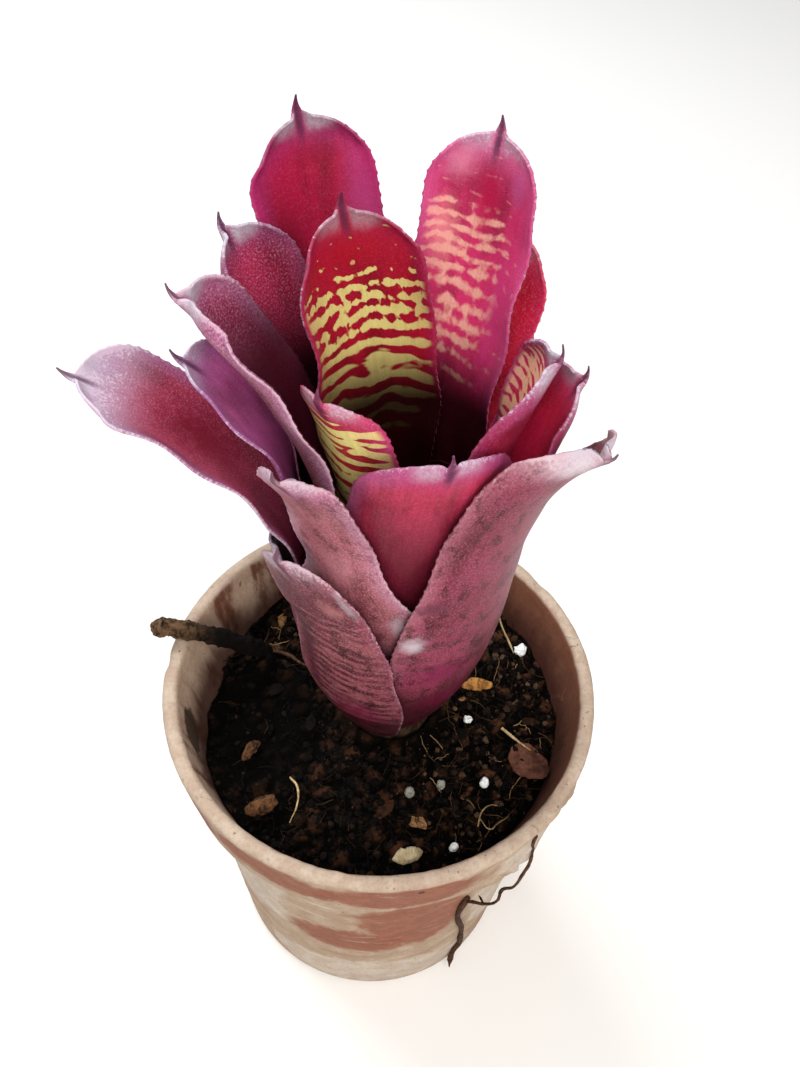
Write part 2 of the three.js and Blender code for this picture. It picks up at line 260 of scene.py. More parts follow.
# ---- camera, light and floor ----
camera = {"place": (7.51, -163.28, 382.02), "tilt": 39.46, "roll": 3.65, "lens": 37.11, "sensor": 36.0}
lights = {
    "window": {"place": (-420, 460, 800), "size": 600, "power": 8.0, "tint": (0.93, 0.97, 1.0)},
    "room": {"place": (160, -560, 760), "size": 800, "power": 9.0, "tint": (1.0, 0.97, 0.94)},
    "sky": {"strength": 0.4, "tint": (0.98, 0.99, 1.0)},
    "aim": (0, 0, 0.13),
}


def placeCamera():
    lens = bpy.data.cameras.new("photoCamera")
    lens.lens, lens.sensor_width = camera["lens"], camera["sensor"]
    lens.clip_start, lens.clip_end = 0.01, 20
    made = newObject("photoCamera", lens)
    tilt = Matrix.Rotation(math.radians(camera["tilt"]), 4, "X")
    roll = Matrix.Rotation(math.radians(camera["roll"]), 4, "Z")
    made.matrix_world = Matrix.Translation(Vector(camera["place"]) * mm) @ tilt @ roll
    bpy.context.scene.camera = made


def placeLights():
    for name in ("window", "room"):
        asked = lights[name]
        lamp = bpy.data.lights.new(name, "AREA")
        lamp.size, lamp.energy, lamp.color = asked["size"] * mm, asked["power"], asked["tint"]
        made = newObject(name, lamp)
        made.location = Vector(asked["place"]) * mm
        made.rotation_euler = (Vector(lights["aim"]) - made.location).to_track_quat("-Z", "Y").to_euler()
    world = bpy.data.worlds.new("studio")
    world.use_nodes = True
    background = world.node_tree.nodes["Background"]
    background.inputs["Color"].default_value = (*lights["sky"]["tint"], 1)
    background.inputs["Strength"].default_value = lights["sky"]["strength"]
    bpy.context.scene.world = world
    bpy.context.scene.view_settings.view_transform = "Standard"


def layFloor():
    clearSelection()
    bpy.ops.mesh.primitive_plane_add(size=6, location=(0, 0, -0.0003))
    floor = bpy.context.object
    floor.name = "studioFloor"
    material, tree, bsdf = newMaterial("paleFloor")
    feed(tree, bsdf.inputs["Base Color"], "f1efec")
    feed(tree, bsdf.inputs["Roughness"], 0.9)
    floor.data.materials.append(material)


placeCamera()
placeLights()
layFloor()
print("camera, light and floor placed")

# ---- leaves ----
rosette = {
    "soilLevel": 104, "stemRadius": 12.4, "stemTaper": 0.4, "footLowest": 1.4, "footStep": 2.1,
    "footClearance": 0.5, "waistHeight": 58, "waistRadius": 9, "waistStep": 2, "outerLayer": 10,
    "flare": 0.35, "belly": 2.2, "round": 0.85, "footThick": 0.62, "bladeThick": 1.0, "endThick": 0.8,
    "marginThick": 0.62,
}
leafMesh = {
    "across": 26, "sheathRows": 34, "pitch": 0.62, "roundRows": 34, "hornRows": 9, "crowding": 1.35,
    "spine": 0.27, "spines": (0, 0, 1, 0.15), "spineFrom": 45, "crease": 0.6, "ripple": 0.7,
    "rippleLength": 3.4, "horn": 3.9, "hornBase": 0.95, "hornEnd": 0.14, "hornBend": 35,
}
leafSizes = ("layer", "azimuth", "radius", "height", "lean", "half", "waist", "channel")
leafHabit = {"drift": 0, "roll": 0, "wrap": 56, "fold": 45, "foldReach": 2.2}  # unless a leaf has its own


def oneLeaf(look, *sizes, **own):  # the sizes are in the order of leafSizes
    return {"look": look, **dict(zip(leafSizes, sizes)), **leafHabit, **own}


leaves = {
    "heart_right": oneLeaf("heart", 0, 20, 11, 96, 8, 7, 7, 10),
    "heart_left": oneLeaf("heart", 0, 200, 11, 86, 6, 7, 7, 10),
    "inner_front": oneLeaf("yellowBack", 1, 238, 21.5, 132, 15, 11.5, 10, 14, drift=-6.5, fold=50),
    "inner_back": oneLeaf("banded", 1, 118, 21, 154, 10, 15.5, 9, 17, drift=6, fold=75, foldReach=3.4),
    "back_right": oneLeaf("peach", 2, 65, 34, 163, 12, 13, 11, 20, fold=60, foldReach=3),
    "inner_right": oneLeaf("bandedInside", 3, 322, 25, 137, 9, 16, 17, 17, drift=14, roll=30, fold=80,
                           foldReach=4.5),
    "left_middle": oneLeaf("dusty", 3, 190, 44, 149, 35, 13, 11, 14, fold=95, foldReach=5),
    "left_high": oneLeaf("dark", 4, 155, 43, 146, 22, 14, 12, 18, fold=80, foldReach=5),
    "front_centre": oneLeaf("crimsonBack", 5, 285, 26.6, 127, 12, 19, 18, 21, drift=2, fold=55, foldReach=3),
    "back_left": oneLeaf("crimson", 5, 122, 50, 158, 16, 15, 13, 26, fold=95, foldReach=4),
    "left_behind": oneLeaf("purple", 6, 186, 45, 131, 45, 11, 12, 26, fold=40),
    "right_low": oneLeaf("crimsonLow", 6, 8, 36, 124, 17, 16, 14, 20, fold=60, foldReach=4),
    "back_far_right": oneLeaf("bright", 7, 60, 42, 137, 14, 11.5, 13, 22, fold=60),
    "far_left": oneLeaf("frosted", 7, 181, 69, 121.5, 60, 13, 9.5, 20, fold=70, foldReach=4),
    "front_left": oneLeaf("roseLeft", 8, 248, 31.5, 119, 26, 9.5, 22, 24, drift=-14, fold=70, foldReach=3.5),
    "back_low_right": oneLeaf("crimsonLow", 8, 68, 55, 110, 45, 13, 15, 24, fold=60),
    "front_right": oneLeaf("roseRight", 9, 317, 41, 125, 40, 17, 23, 27, drift=13, roll=-16, fold=100,
                           foldReach=6),
    "lower_back": oneLeaf("oldPurple", 9, 194, 30.2, 80, 5, 12, 18, 28, fold=50),
    "lower_left": oneLeaf("oldBanded", 10, 245, 31, 92, 5, 11, 13, 28, drift=-14, wrap=34, fold=60),
    "back_low": oneLeaf("crimsonLow", 10, 108, 58, 84, 62, 13, 15, 24, fold=60),
}


def leafMidline(leaf):  # foot, waist and tip in the leaf's own upright plane, and its blade as a curve
    footHeight = rosette["footLowest"] + rosette["footStep"] * (rosette["outerLayer"] - leaf["layer"])
    stem = rosette["stemRadius"] - rosette["stemTaper"] * footHeight
    foot = np.array([stem + rosette["footClearance"] + rosette["footThick"] / 2, footHeight])
    waist = np.array([rosette["waistRadius"] + rosette["waistStep"] * leaf["layer"], rosette["waistHeight"]])
    tip = np.array([leaf["radius"], leaf["height"]], float)
    handle = 0.4 * np.linalg.norm(tip - waist)
    leaving = np.array([rosette["flare"] * (waist[0] - foot[0]), waist[1] - foot[1]])
    lean = math.radians(leaf["lean"])
    arriving = np.array([math.sin(lean), math.cos(lean)])
    corners = [waist, waist + leaving / np.linalg.norm(leaving) * handle, tip - arriving * handle, tip]
    return foot, waist, tip, arriving, corners


def bezier(corners, t):
    t = np.asarray(t, float)[:, None]
    a, b, c, d = corners
    place = a * (1 - t) ** 3 + 3 * b * t * (1 - t) ** 2 + 3 * c * t**2 * (1 - t) + d * t**3
    ahead = 3 * (b - a) * (1 - t) ** 2 + 6 * (c - b) * t * (1 - t) + 3 * (d - c) * t**2
    return place, ahead


def leafRows(leaf):  # one entry for each row of the leaf's grid, from its foot to the end of its horn
    foot, waist, tip, arriving, corners = leafMidline(leaf)
    fine = np.linspace(0, 1, 400)
    steps = np.linalg.norm(np.diff(bezier(corners, fine)[0], axis=0), axis=1)
    travel = np.concatenate([[0], np.cumsum(steps)])
    roundStart = 1 - rosette["round"] * leaf["half"] / travel[-1]
    straightEnd = np.interp(roundStart, fine, travel)
    count = max(8, round(straightEnd / leafMesh["pitch"]))
    straight = np.interp(np.linspace(0, straightEnd, count), travel, fine)
    roundTurn = np.linspace(0, math.pi / 2, leafMesh["roundRows"] + 1)[1:]
    t = np.concatenate([straight, roundStart + (1 - roundStart) * np.sin(roundTurn)])
    u = np.linspace(0, 1, leafMesh["sheathRows"], endpoint=False)
    widening = rosette["flare"] * u + (1 - rosette["flare"]) * (1 - (1 - u) ** rosette["belly"])
    s = np.arange(1, leafMesh["hornRows"] + 1) / leafMesh["hornRows"]

    sheathX, sheathZ = lerp(foot[0], waist[0], widening), lerp(foot[1], waist[1], u)
    wrapped = math.radians(leaf["wrap"]) * sheathX
    sheathHalf = lerp(wrapped, np.minimum(wrapped, leaf["waist"]), smooth(u, 0.45, 1))
    place, ahead = bezier(corners, t)
    body = lerp(leaf["waist"], leaf["half"], smooth(t, 0, 0.55))
    past = (t - roundStart) / (1 - roundStart)
    turned = np.maximum(0, past)
    bladeHalf = np.maximum(leafMesh["hornBase"], body * np.sqrt(np.maximum(0, 1 - turned**2)))
    hornBend = math.radians(leafMesh["hornBend"]) * s
    hornX = tip[0] + leafMesh["horn"] * (s * arriving[0] - 0.5 * s * np.sin(hornBend) * arriving[1])
    hornZ = tip[1] + leafMesh["horn"] * (s * arriving[1] + 0.5 * s * np.sin(hornBend) * arriving[0]) * 0.9
    hornHalf = leafMesh["hornBase"] * (1 - s) ** 1.5 + leafMesh["hornEnd"]

    none, end = 0 * u, np.ones_like(s)
    columns = {  # sheath, blade and horn
        "x": (sheathX, place[:, 0], hornX),
        "z": (sheathZ, place[:, 1], hornZ),
        "t": (none, t, end),
        "lean": (none, np.arctan2(ahead[:, 0], ahead[:, 1]) * smooth(t, 0, 0.35),
                 end * math.radians(leaf["lean"])),
        "half": (sheathHalf, bladeHalf, hornHalf),
        "body": (sheathHalf, body, end * leaf["half"]),
        "channel": (sheathX, lerp(waist[0], leaf["channel"], smooth(t, 0, 0.5)),
                    lerp(leaf["channel"], 4, s)),
        "thick": (lerp(rosette["footThick"], rosette["bladeThick"], smooth(u, 0.1, 1)),
                  lerp(rosette["bladeThick"], rosette["endThick"], t), lerp(0.62, 0.3, s)),
        "turned": (none - 9, past, end + 9),
        "isBlade": (none, np.ones_like(t), 0 * s),
    }
    rows = {key: np.concatenate(parts) for key, parts in columns.items()}
    rows["roundLength"] = (1 - roundStart) * travel[-1]
    step = np.hypot(np.diff(rows["x"]), np.diff(rows["z"]))
    rows["fromFoot"] = np.concatenate([[0], np.cumsum(step)])
    rows["fromTip"] = rows["fromFoot"][-1] - leafMesh["horn"] - rows["fromFoot"]
    return rows


def leafSurface(leaf, rows, row, u, seed):  # the middle of the leaf's thickness, and what the finish reads
    half, body, channel, turned = [rows[key][row] for key in ("half", "body", "channel", "turned")]
    t, isBlade, fromFoot, fromTip = [rows[key][row] for key in ("t", "isBlade", "fromFoot", "fromTip")]
    x = half * u
    edge = np.sqrt(np.clip(1 - (x / body) ** 2, 0, 1))
    toEnd = (edge - turned) * rows["roundLength"]
    toSide = np.maximum(0, half - np.abs(x))
    rounded = toSide * np.maximum(toEnd, 0) / (np.hypot(toSide, toEnd) + 1e-6)
    toMargin = np.where(turned > 0, rounded, toSide)

    spines = np.array(leafMesh["spines"])
    spine = spines[row % len(spines)] * leafMesh["spine"]
    onMargin = (np.abs(u) > 0.999) & (isBlade > 0) & (half > 3) & (fromFoot > leafMesh["spineFrom"])
    wide = x + np.sign(u) * spine * onMargin
    wave = leafMesh["ripple"] * smooth(t, 0.12, 0.4) * np.abs(u) ** 3
    wave = wave * (1 - smooth(turned, 0.3, 0.9))
    ripple = wave * np.sin(fromFoot / leafMesh["rippleLength"] + 1.7 * np.sign(u) + seed)
    crease = leafMesh["crease"] * np.exp(-((x / 1.7) ** 2)) * np.exp(-np.maximum(0, fromTip) / 7)

    lean, roll = rows["lean"][row], math.radians(leaf["roll"]) * t * t
    along = np.stack([np.sin(lean), 0 * lean, np.cos(lean)], 1)
    flat = np.stack([np.cos(lean), 0 * lean, -np.sin(lean)], 1)
    across = np.cross(along, flat)
    outward = flat * np.cos(roll)[:, None] + across * np.sin(roll)[:, None]
    sideways = np.cross(along, outward)
    angle = wide / channel
    radial = outward * np.cos(angle)[:, None] + sideways * np.sin(angle)[:, None]
    place = np.stack([rows["x"][row], leaf["drift"] * t * t, rows["z"][row]], 1)

    reach, most = leaf["foldReach"], math.radians(0.6 * leaf["fold"])
    weight = smooth(np.abs(x), 0.6, 2.6) * (1 - smooth(np.abs(x) / body, 0.8, 1.0)) * (isBlade > 0)
    past = np.clip(reach - toEnd, 0, reach)
    bend = np.maximum(most * weight, 1e-4) / reach
    ahead = np.sin(bend * past) / bend - past
    inward = (1 - np.cos(bend * past)) / bend
    place = place + outward * (-channel)[:, None] + radial * (channel + ripple + crease - inward)[:, None]
    place = place + along * ahead[:, None]
    return place, np.stack([x, fromTip, 0 * x], 1), np.stack([toMargin, fromFoot, 0 * x + seed], 1)


def leafPiece(leaf, seed):
    rows = leafRows(leaf)
    count = len(rows["x"])
    clearSelection()
    bpy.ops.mesh.primitive_grid_add(x_subdivisions=leafMesh["across"], y_subdivisions=count - 1, size=2)
    piece = bpy.context.object
    flat = readPoints(piece)
    row = np.rint((flat[:, 1] + 1) / 2 * (count - 1)).astype(int)
    u = np.sign(flat[:, 0]) * (1 - (1 - np.minimum(1, np.abs(flat[:, 0]))) ** leafMesh["crowding"])
    place, where, edge = leafSurface(leaf, rows, row, u, seed)
    turn = math.radians(leaf["azimuth"])
    x = place[:, 0] * math.cos(turn) - place[:, 1] * math.sin(turn) + potX + plantOff
    y = place[:, 0] * math.sin(turn) + place[:, 1] * math.cos(turn) + plantOff
    writePoints(piece, np.stack([x, y, place[:, 2] + rosette["soilLevel"]], 1) * mm)
    addAttribute(piece, "place", where)
    addAttribute(piece, "edge", edge)
    thick = lerp(rows["thick"][row], np.minimum(rows["thick"][row], rosette["marginThick"]), u * u)
    group = piece.vertex_groups.new(name="thickness")
    for index, value in enumerate(thick / rosette["bladeThick"]):
        group.add([index], float(value), "REPLACE")
    makeActive(piece)
    solid = piece.modifiers.new("body", "SOLIDIFY")
    solid.thickness, solid.offset = rosette["bladeThick"] * mm, 0
    solid.vertex_group, solid.thickness_vertex_group = "thickness", 0
    bpy.ops.object.modifier_apply(modifier="body")
    piece.vertex_groups.clear()
    markInside(piece, count * (leafMesh["across"] + 1))
    return piece


def markInside(piece, half):  # the third number of "place" is 1 on the face towards the heart
    values = np.empty(len(piece.data.vertices) * 3)
    places = piece.data.attributes["place"].data
    places.foreach_get("vector", values)
    values[3 * half + 2 :: 3] = 1
    places.foreach_set("vector", values)


# ---- leaf finish ----
leafDefaults = dict(
    inner="a2183a", outer="8c4a58", tip="8a3560", margin="a83a70", band="cfa850", deepShade="170304",
    bloom="c4b2c8", keel="45203a", marginReach=5, tipReach=11, bandFrom=20, bandTo=90, bandBreak=0,
    bandShare=0, bandCentre=0, bandHalf=30, bandSoft=0.04, bandLong=9, bandPitch=2.6, bandOuter=0,
    bloomInner=0.1, bloomOuter=0.4, bloomTip=0.6, deepTo=92, shadeTo=30, lines=0.2, dusk=0.6, scurf=0.12,
    silver=0.5, rimBloom=0.4, blotched=0.12)
leafColours = [key for key, value in leafDefaults.items() if isinstance(value, str)]
leafNumbers = [key for key in leafDefaults if key not in leafColours]
# the leaves' own marks and wear, and the shade colour, which is painted shade where the leaves overlap low
# down
leafWearAndShade = {"dusk": "8c5058", "blotch": "8a5654", "groove": "a87880", "worn": "8a5664", "paintedShade": "33060f",
            "foot": "9c7468", "silver": "bfb6c2"}
leafLooks = {
    "heart": dict(
        inner="5c0c1c", outer="3a0c16", tip="4a1020", margin="4a1020", bloomOuter=0.05, bloomTip=0.15,
        scurf=0.03, silver=0, rimBloom=0.05, deepTo=108),
    "banded": dict(
        inner="9c0c28", tip="960e36", margin="9c1c48", band="cdc078", bandShare=0.505, bandFrom=12,
        bandTo=60, marginReach=3.5, bandBreak=29, bandPitch=1.75, bandSoft=0.07, bloomInner=0.02,
        bloomTip=0.25, deepTo=108, outer="8f7488", silver=0.45, rimBloom=0.2, scurf=0.03),
    "yellowBack": dict(
        inner="7e0c1e", outer="b8262e", tip="b82050", margin="bc3e78", band="e8dc88", bandShare=0.58,
        bandFrom=5, bandTo=110, bandOuter=1, bandLong=8, bandPitch=2.0, bloomOuter=0.04, rimBloom=0.2),
    "peach": dict(
        inner="ca3266", tip="c05484", margin="c44a82", band="e4a294", bandShare=0.485, bandFrom=13,
        bandTo=58, bandCentre=4, bandHalf=10, bandSoft=0.22, bandLong=2.8, bandPitch=1.45, bloomInner=0.08,
        outer="8f7488", deepTo=108, rimBloom=0.25, scurf=0.05),
    "bandedInside": dict(
        inner="c0204e", outer="981436", tip="983464", margin="98305c", band="e8b894", bandShare=0.54,
        bandFrom=3, bandTo=70, bandLong=4, bandPitch=1.3, bandSoft=0.1, bloomOuter=0.1, silver=0.8),
    "dusty": dict(
        inner="9a3058", deepShade="380816", tip="a85c84", margin="b4709a", bloom="cca8b8", bloomInner=0.32,
        bloomTip=0.7, deepTo=140, scurf=0.48, silver=0.8, rimBloom=0.9),
    "dark": dict(
        inner="a8264c", tip="8c3262", margin="8c4468", bloomInner=0.12, deepTo=124, scurf=0.3, silver=0.9),
    "crimsonBack": dict(
        inner="7c0c20", outer="d03a5e", tip="a83070", margin="bc5c90", bloomOuter=0.05, bloomTip=0.5,
        lines=0.35, shadeTo=109),
    "crimson": dict(
        inner="a00e38", tip="861e50", margin="b02c6c", marginReach=7, bloomInner=0.03, bloomTip=0.35,
        outer="8f7488", silver=0.8, rimBloom=0.15, scurf=0.05),
    "purple": dict(inner="c45a9c", outer="8c3c70", tip="986090", margin="9a5088", bloomInner=0.2, scurf=0.2),
    "crimsonLow": dict(
        inner="d01c46", tip="a83460", margin="b03c68", bloomInner=0.04, bloomTip=0.4, scurf=0.06),
    "bright": dict(inner="d01c3c", tip="b82c50", margin="c82450", bloomInner=0.02, silver=0.2, rimBloom=0.2),
    "frosted": dict(
        inner="a03450", tip="b8a6c0", margin="9c5c88", bloom="d0bccc", bloomInner=0.15, bloomTip=1.1,
        tipReach=20, marginReach=4, scurf=0.22, silver=0.7, rimBloom=0.7, deepTo=60),
    "roseLeft": dict(
        inner="7c1024", outer="a45c66", tip="a86084", margin="b07c94", bloom="c8a6ae", bloomOuter=0.22,
        bloomTip=0.7, scurf=0.3, shadeTo=74, rimBloom=0.7, blotched=0.6),
    "roseRight": dict(
        inner="7c1024", outer="86324a", tip="b89aa4", margin="a05c6c", bloom="c8a6ae", band="6c2c3a",
        bandOuter=1, bandShare=0.42, bandFrom=52, bandTo=112, bandLong=11, bandPitch=1.35, bandSoft=0.22,
        bloomOuter=0.09, bloomTip=0.95, scurf=0.2, silver=0.9, shadeTo=46, rimBloom=0.6, blotched=0.7),
    "oldPurple": dict(inner="6c182e", outer="722238", tip="8a6478", bloomOuter=0.12, scurf=0.25),
    "oldBanded": dict(
        inner="6c182e", outer="60222e", tip="86505a", margin="843e50", bloom="c4a0ac", band="88484e",
        bandShare=0.5, bandFrom=14, bandTo=92, bandOuter=1, bandSoft=0.2, bandLong=10, bandPitch=1.25,
        bloomOuter=0.15, bloomTip=0.7, scurf=0.24, shadeTo=32, rimBloom=0.6, blotched=0.8),
}
leafSlots = {
    **dict.fromkeys(("heart", "banded", "yellowBack", "peach", "bandedInside"), "banded_leaf"),
    **dict.fromkeys(("roseLeft", "roseRight", "oldPurple", "oldBanded"), "old_leaf"),
}
leafMarks = {  # across, distance from the tip, face (1 is the inner), half sizes, colour and strength
    "crimson": [(-11, 20, 1, 4.5, 13, "b0407c", 0.6), (7, 24, 1, 4, 7, "7c0c28", 0.6),
                (-3, 9, 1, 6, 2.5, "8c0c30", 0.5)],
    # the near-black mark on the banded leaf, 60 mm from its tip, is painted shade deep in the tank
    "banded": [(0, 9, 1, 7, 4, "a00a20", 0.6), (12, 60, 1, 8, 24, "2a0808", 0.7)],
    "peach": [(-0.5, 13, 1, 3, 7, "a81440", 0.85), (6.5, 7, 1, 3.5, 4.5, "d48aa2", 0.5),
              (-7, 9, 1, 2.5, 5, "b8568e", 0.5), (-8, 36, 1, 3.4, 18, "c23a76", 0.75),
              (8, 22, 1, 3.5, 8, "e49a94", 0.5)],
    "frosted": [(-1, 31, 1, 8.5, 16, "700c24", 0.85)],
    "roseLeft": [(11.3, 45.6, 0, 2.2, 4, "a8a4ae", 0.4), (3, 56, 0, 8, 3, "5c3c40", 0.5),
                 (0, 30, 0, 5, 6, "c88a94", 0.35)],
    "roseRight": [(-18.3, 59, 0, 3.4, 3, "c2bec4", 0.7), (-16, 46, 0, 5, 2.4, "5c2c3c", 0.6),
                  (-3, 4, 0, 8, 3.5, "d2c8d0", 0.6), (-10, 74, 0, 9, 6, "7c1c48", 0.6),
                  (2, 30, 0, 4, 8, "8c3444", 0.4), (-4, 92, 0, 9, 7, "701438", 0.6)],
    "oldBanded": [(9.4, 9, 0, 1.4, 4.4, "b8b0b6", 0.45), (4.6, 11.5, 0, 3, 3, "b07272", 0.6),
                  # the long dark mark on the old banded leaf, 34 mm from its tip, is a painted shadow cast
                  # by the leaf outside it
                  (-9, 34, 0, 2.8, 26, "461424", 0.85), (3, 60, 0, 8, 8, "74183c", 0.65)],
}
markDepth, markRagged = 0.6, 1.6
bandTall, bandSpread = 0.95, 25.0  # a band's height, and how far down the bands begin to widen


def makeLeafPigment():
    group, take, out = newGroup(
        "leafPigment", {"Vector": ["place", "edge"], "Color": leafColours, "Float": leafNumbers},
        {"Color": ["Color"], "Float": ["Frost", "Height"]})
    across, fromTip, side = split(take["place"])
    toMargin, fromFoot, seed = split(take["edge"])
    flow = join(across, fromTip, seed * 13.7)
    cloud = grain(flow, (0.13, 0.05, 1), 3)
    lines = grain(flow, (2.2, 0.045, 1), 2)
    granule = grain(flow, (2.4, 2.1, 1), 3, 0.65, shift=(5, 1, 2))
    speck = grain(flow, (1.7, 1.3, 1), 3, 0.75)
    film = grain(flow, (0.16, 0.09, 1), 3, shift=(7, 3, 1))
    inside = maths("GREATER_THAN", side, 0.5)

    face = blend(inside, take["outer"], take["inner"])
    face = blend(ramp(cloud, 0.42, 0.72) * take["dusk"], face, tinted(face, leafWearAndShade["dusk"]))
    face = blend(ramp(toMargin / take["marginReach"], 0, 1, 0.75, 0), face, take["margin"])
    face = blend(ramp(fromTip / take["tipReach"], 0, 1, 0.85, 0), face, take["tip"])
    banded = leafBands(take, across, fromTip, toMargin, seed, inside)
    pale = blend(ramp(toMargin, 1, 7, 0.5, 0), take["band"], blend(0.5, take["band"], take["margin"]))
    face = blend(banded, face, pale)
    blotch = ramp(grain(flow, (0.34, 0.2, 1), 4, 0.7, shift=(2, 9, 4)), 0.5, 0.64)
    face = blend(blotch * take["blotched"], face, tinted(face, leafWearAndShade["blotch"]))
    grooved = blend(take["lines"], face, tinted(face, leafWearAndShade["groove"]))
    face = blend(ramp(lines, 0.35, 0.7, 0, 0.7), face, grooved)
    face = blend(ramp(granule, 0.5, 0.68) * take["scurf"], face, take["bloom"])
    worn = ramp(granule, 0.32, 0.5, 1.5, 0) * take["scurf"]
    face = blend(worn, face, tinted(face, leafWearAndShade["worn"]))
    # painted shade: the inner face darkens to the deep colour down in the tank, where little light gets in
    paintedTankShade = ramp(fromFoot / take["deepTo"], 0.8, 1.0, 0.97, 0) * inside
    face = blend(paintedTankShade, face, take["deepShade"])
    # painted shade: the outer face darkens towards the foot, where the leaves shade one another
    low = ramp(fromFoot / take["shadeTo"], 0.72, 1.12, 0.8, 0)
    face = blend(low * (1.0 - inside), face, leafWearAndShade["paintedShade"])
    face = blend(ramp(fromFoot, 0.8, 3.2, 0.75, 0), face, leafWearAndShade["foot"])

    # silvery scales: grains that grow into a film at the tip and along the margins
    share = blendValue(inside, take["bloomOuter"], take["bloomInner"]) * ramp(film, 0.34, 0.66, 0.4, 1.5)
    nearTip = ramp(fromTip / take["tipReach"], 0.05, 1, 1, 0) * take["bloomTip"]
    share = maths("MAXIMUM", share, nearTip * ramp(film, 0.3, 0.6, 0.45, 1))
    share = share + ramp(toMargin, 0, 1.1, 0.8, 0) * take["rimBloom"]
    share = share * (1.0 - paintedTankShade * 0.85)
    frost = ramp(speck + share * 0.42 - 0.74, 0, 0.2, 0, 0.8)
    bloomed = maths("MAXIMUM", frost, maths("POWER", share, 1.8) * 0.2, clamp=True)
    face = blend(bloomed, face, take["bloom"])
    aside = maths("ABSOLUTE", across)
    beside = ramp(aside, 0.7, 2.2) * ramp(aside, 5, 9, 1, 0)
    silver = beside * ramp(fromTip + film * 5, 3.5, 8, 1, 0) * take["silver"]
    face = blend(silver * ramp(speck, 0.3, 0.6, 0.55, 1), face, leafWearAndShade["silver"])
    keel = ramp(aside, 0.2, 1.3, 1, 0) * ramp(fromTip, 2, 8, 1, 0)
    face = blend(keel * 0.8, face, take["keel"])

    feed(group, out["Color"], face)
    feed(group, out["Frost"], frost)
    feed(group, out["Height"], lines * 0.2 + granule * 0.8 + cloud)
    return group


def leafBands(take, across, fromTip, toMargin, seed, inside):  # blots towards the tip, long bands below
    wander = grain(join(across, fromTip, seed), (0.11, 0.06, 1), 1)
    lifted = fromTip + wander * 5.0
    rung = maths("LOGARITHM", 1.0 + lifted / bandSpread, math.e) * bandSpread / take["bandPitch"]

    def blots(reach):
        return grain(join(across / reach, rung, seed), (1, 1 / bandTall, 1), 2, 0.5, 0.25)

    blot = blendValue(ramp(fromTip - take["bandBreak"], -7, 7), blots(2.3), blots(take["bandLong"]))
    wave = maths("SINE", rung * (2 * math.pi))
    level = blot + wave * 0.11 - (1.0 - take["bandShare"])
    start = ramp(fromTip - take["bandFrom"], -3, 6, 0.3, 0)
    stop = ramp(fromTip - take["bandTo"], -14, 4, 0, 0.3)
    aside = maths("ABSOLUTE", across - take["bandCentre"])
    level = level - (start + stop + ramp(aside - take["bandHalf"], -3, 5, 0, 0.22))
    banded = ramp(level / take["bandSoft"], -0.5, 0.5)
    return banded * blendValue(inside, take["bandOuter"], 1.0) * ramp(toMargin, 0.2, 1.6)


def leafMaterial(name):
    look = {**leafDefaults, **leafLooks[name]}
    material, tree, bsdf = newMaterial("leaf" + name[0].upper() + name[1:])
    place = attribute(tree, "place", "Vector")
    feeds = {"place": place, "edge": attribute(tree, "edge", "Vector"), **look}
    face, frost, height = shader("Group", feeds, node_tree=pigment)
    for across, fromTip, side, wide, long, colour, strength in leafMarks.get(name, []):
        mask = patch(markMask, place, (across, fromTip, side), (wide, long, markDepth), markRagged)
        face = blend(mask * strength, face, colour)
    dress(bsdf, face, ramp(frost, 0, 1, 0.4, 0.65), 0.14, height, 0.55, 0.35)
    bsdf.inputs["Subsurface Weight"].default_value = 0.06
    bsdf.inputs["Subsurface Radius"].default_value = (0.0025, 0.0006, 0.0006)
    bsdf.inputs["Subsurface Scale"].default_value = 0.6
    return material


pigment = makeLeafPigment()
markMask = patchGroup("leafMark", (0.3, 5, 0.75, 0.8), 0, 0.9, 2.1)
leafMaterials = {look: leafMaterial(look) for look in leafLooks}
for number, (name, leaf) in enumerate(leaves.items()):
    look = leaf["look"]
    piece, slotName = leafPiece(leaf, number), leafSlots.get(look, "red_leaf")
    finishPiece(piece, "leaf." + name, leafMaterials[look], ["leaf_" + name], 180)
print("leaves:", len(leaves))

# ---- pot ----
pot = {
    "rim": 60, "height": 119, "collar": 23, "collarFoot": 57.5, "shoulder": 53, "base": 45, "wall": 4.2,
    "floor": 7, "knee": 91, "drain": 7, "edge": 1.3, "around": 288, "step": 1.5, "lumps": 0.22,
    "dents": 0.16,
    "chips": [  # azimuth, height, size, depth (a lump's is negative)
        (-38, 111, 5.5, 1.3), (-27, 106, 6, 1.4), (-31, 118, 4, 0.9), (-96, 118.5, 3, 0.7),
        (-62, 118.6, 2.4, 0.6), (178, 118.5, 2.5, 0.6), (40, 118.4, 3, 0.6), (-30, 114, 4, -1.0),
        (-37, 117, 3, -0.8), (-43, 110, 4, -1.1), (-48, 101, 9, -1.6)],
}
collarBottom = pot["height"] - pot["collar"]


def roundCorner(r, z, dr, dz):  # three points round a corner; dr and dz, 1 or -1, point along its sides
    edge = pot["edge"]
    return [(r + dr * edge, z), (r + 0.35 * dr * edge, z + 0.35 * dz * edge), (r, z + dz * edge)]


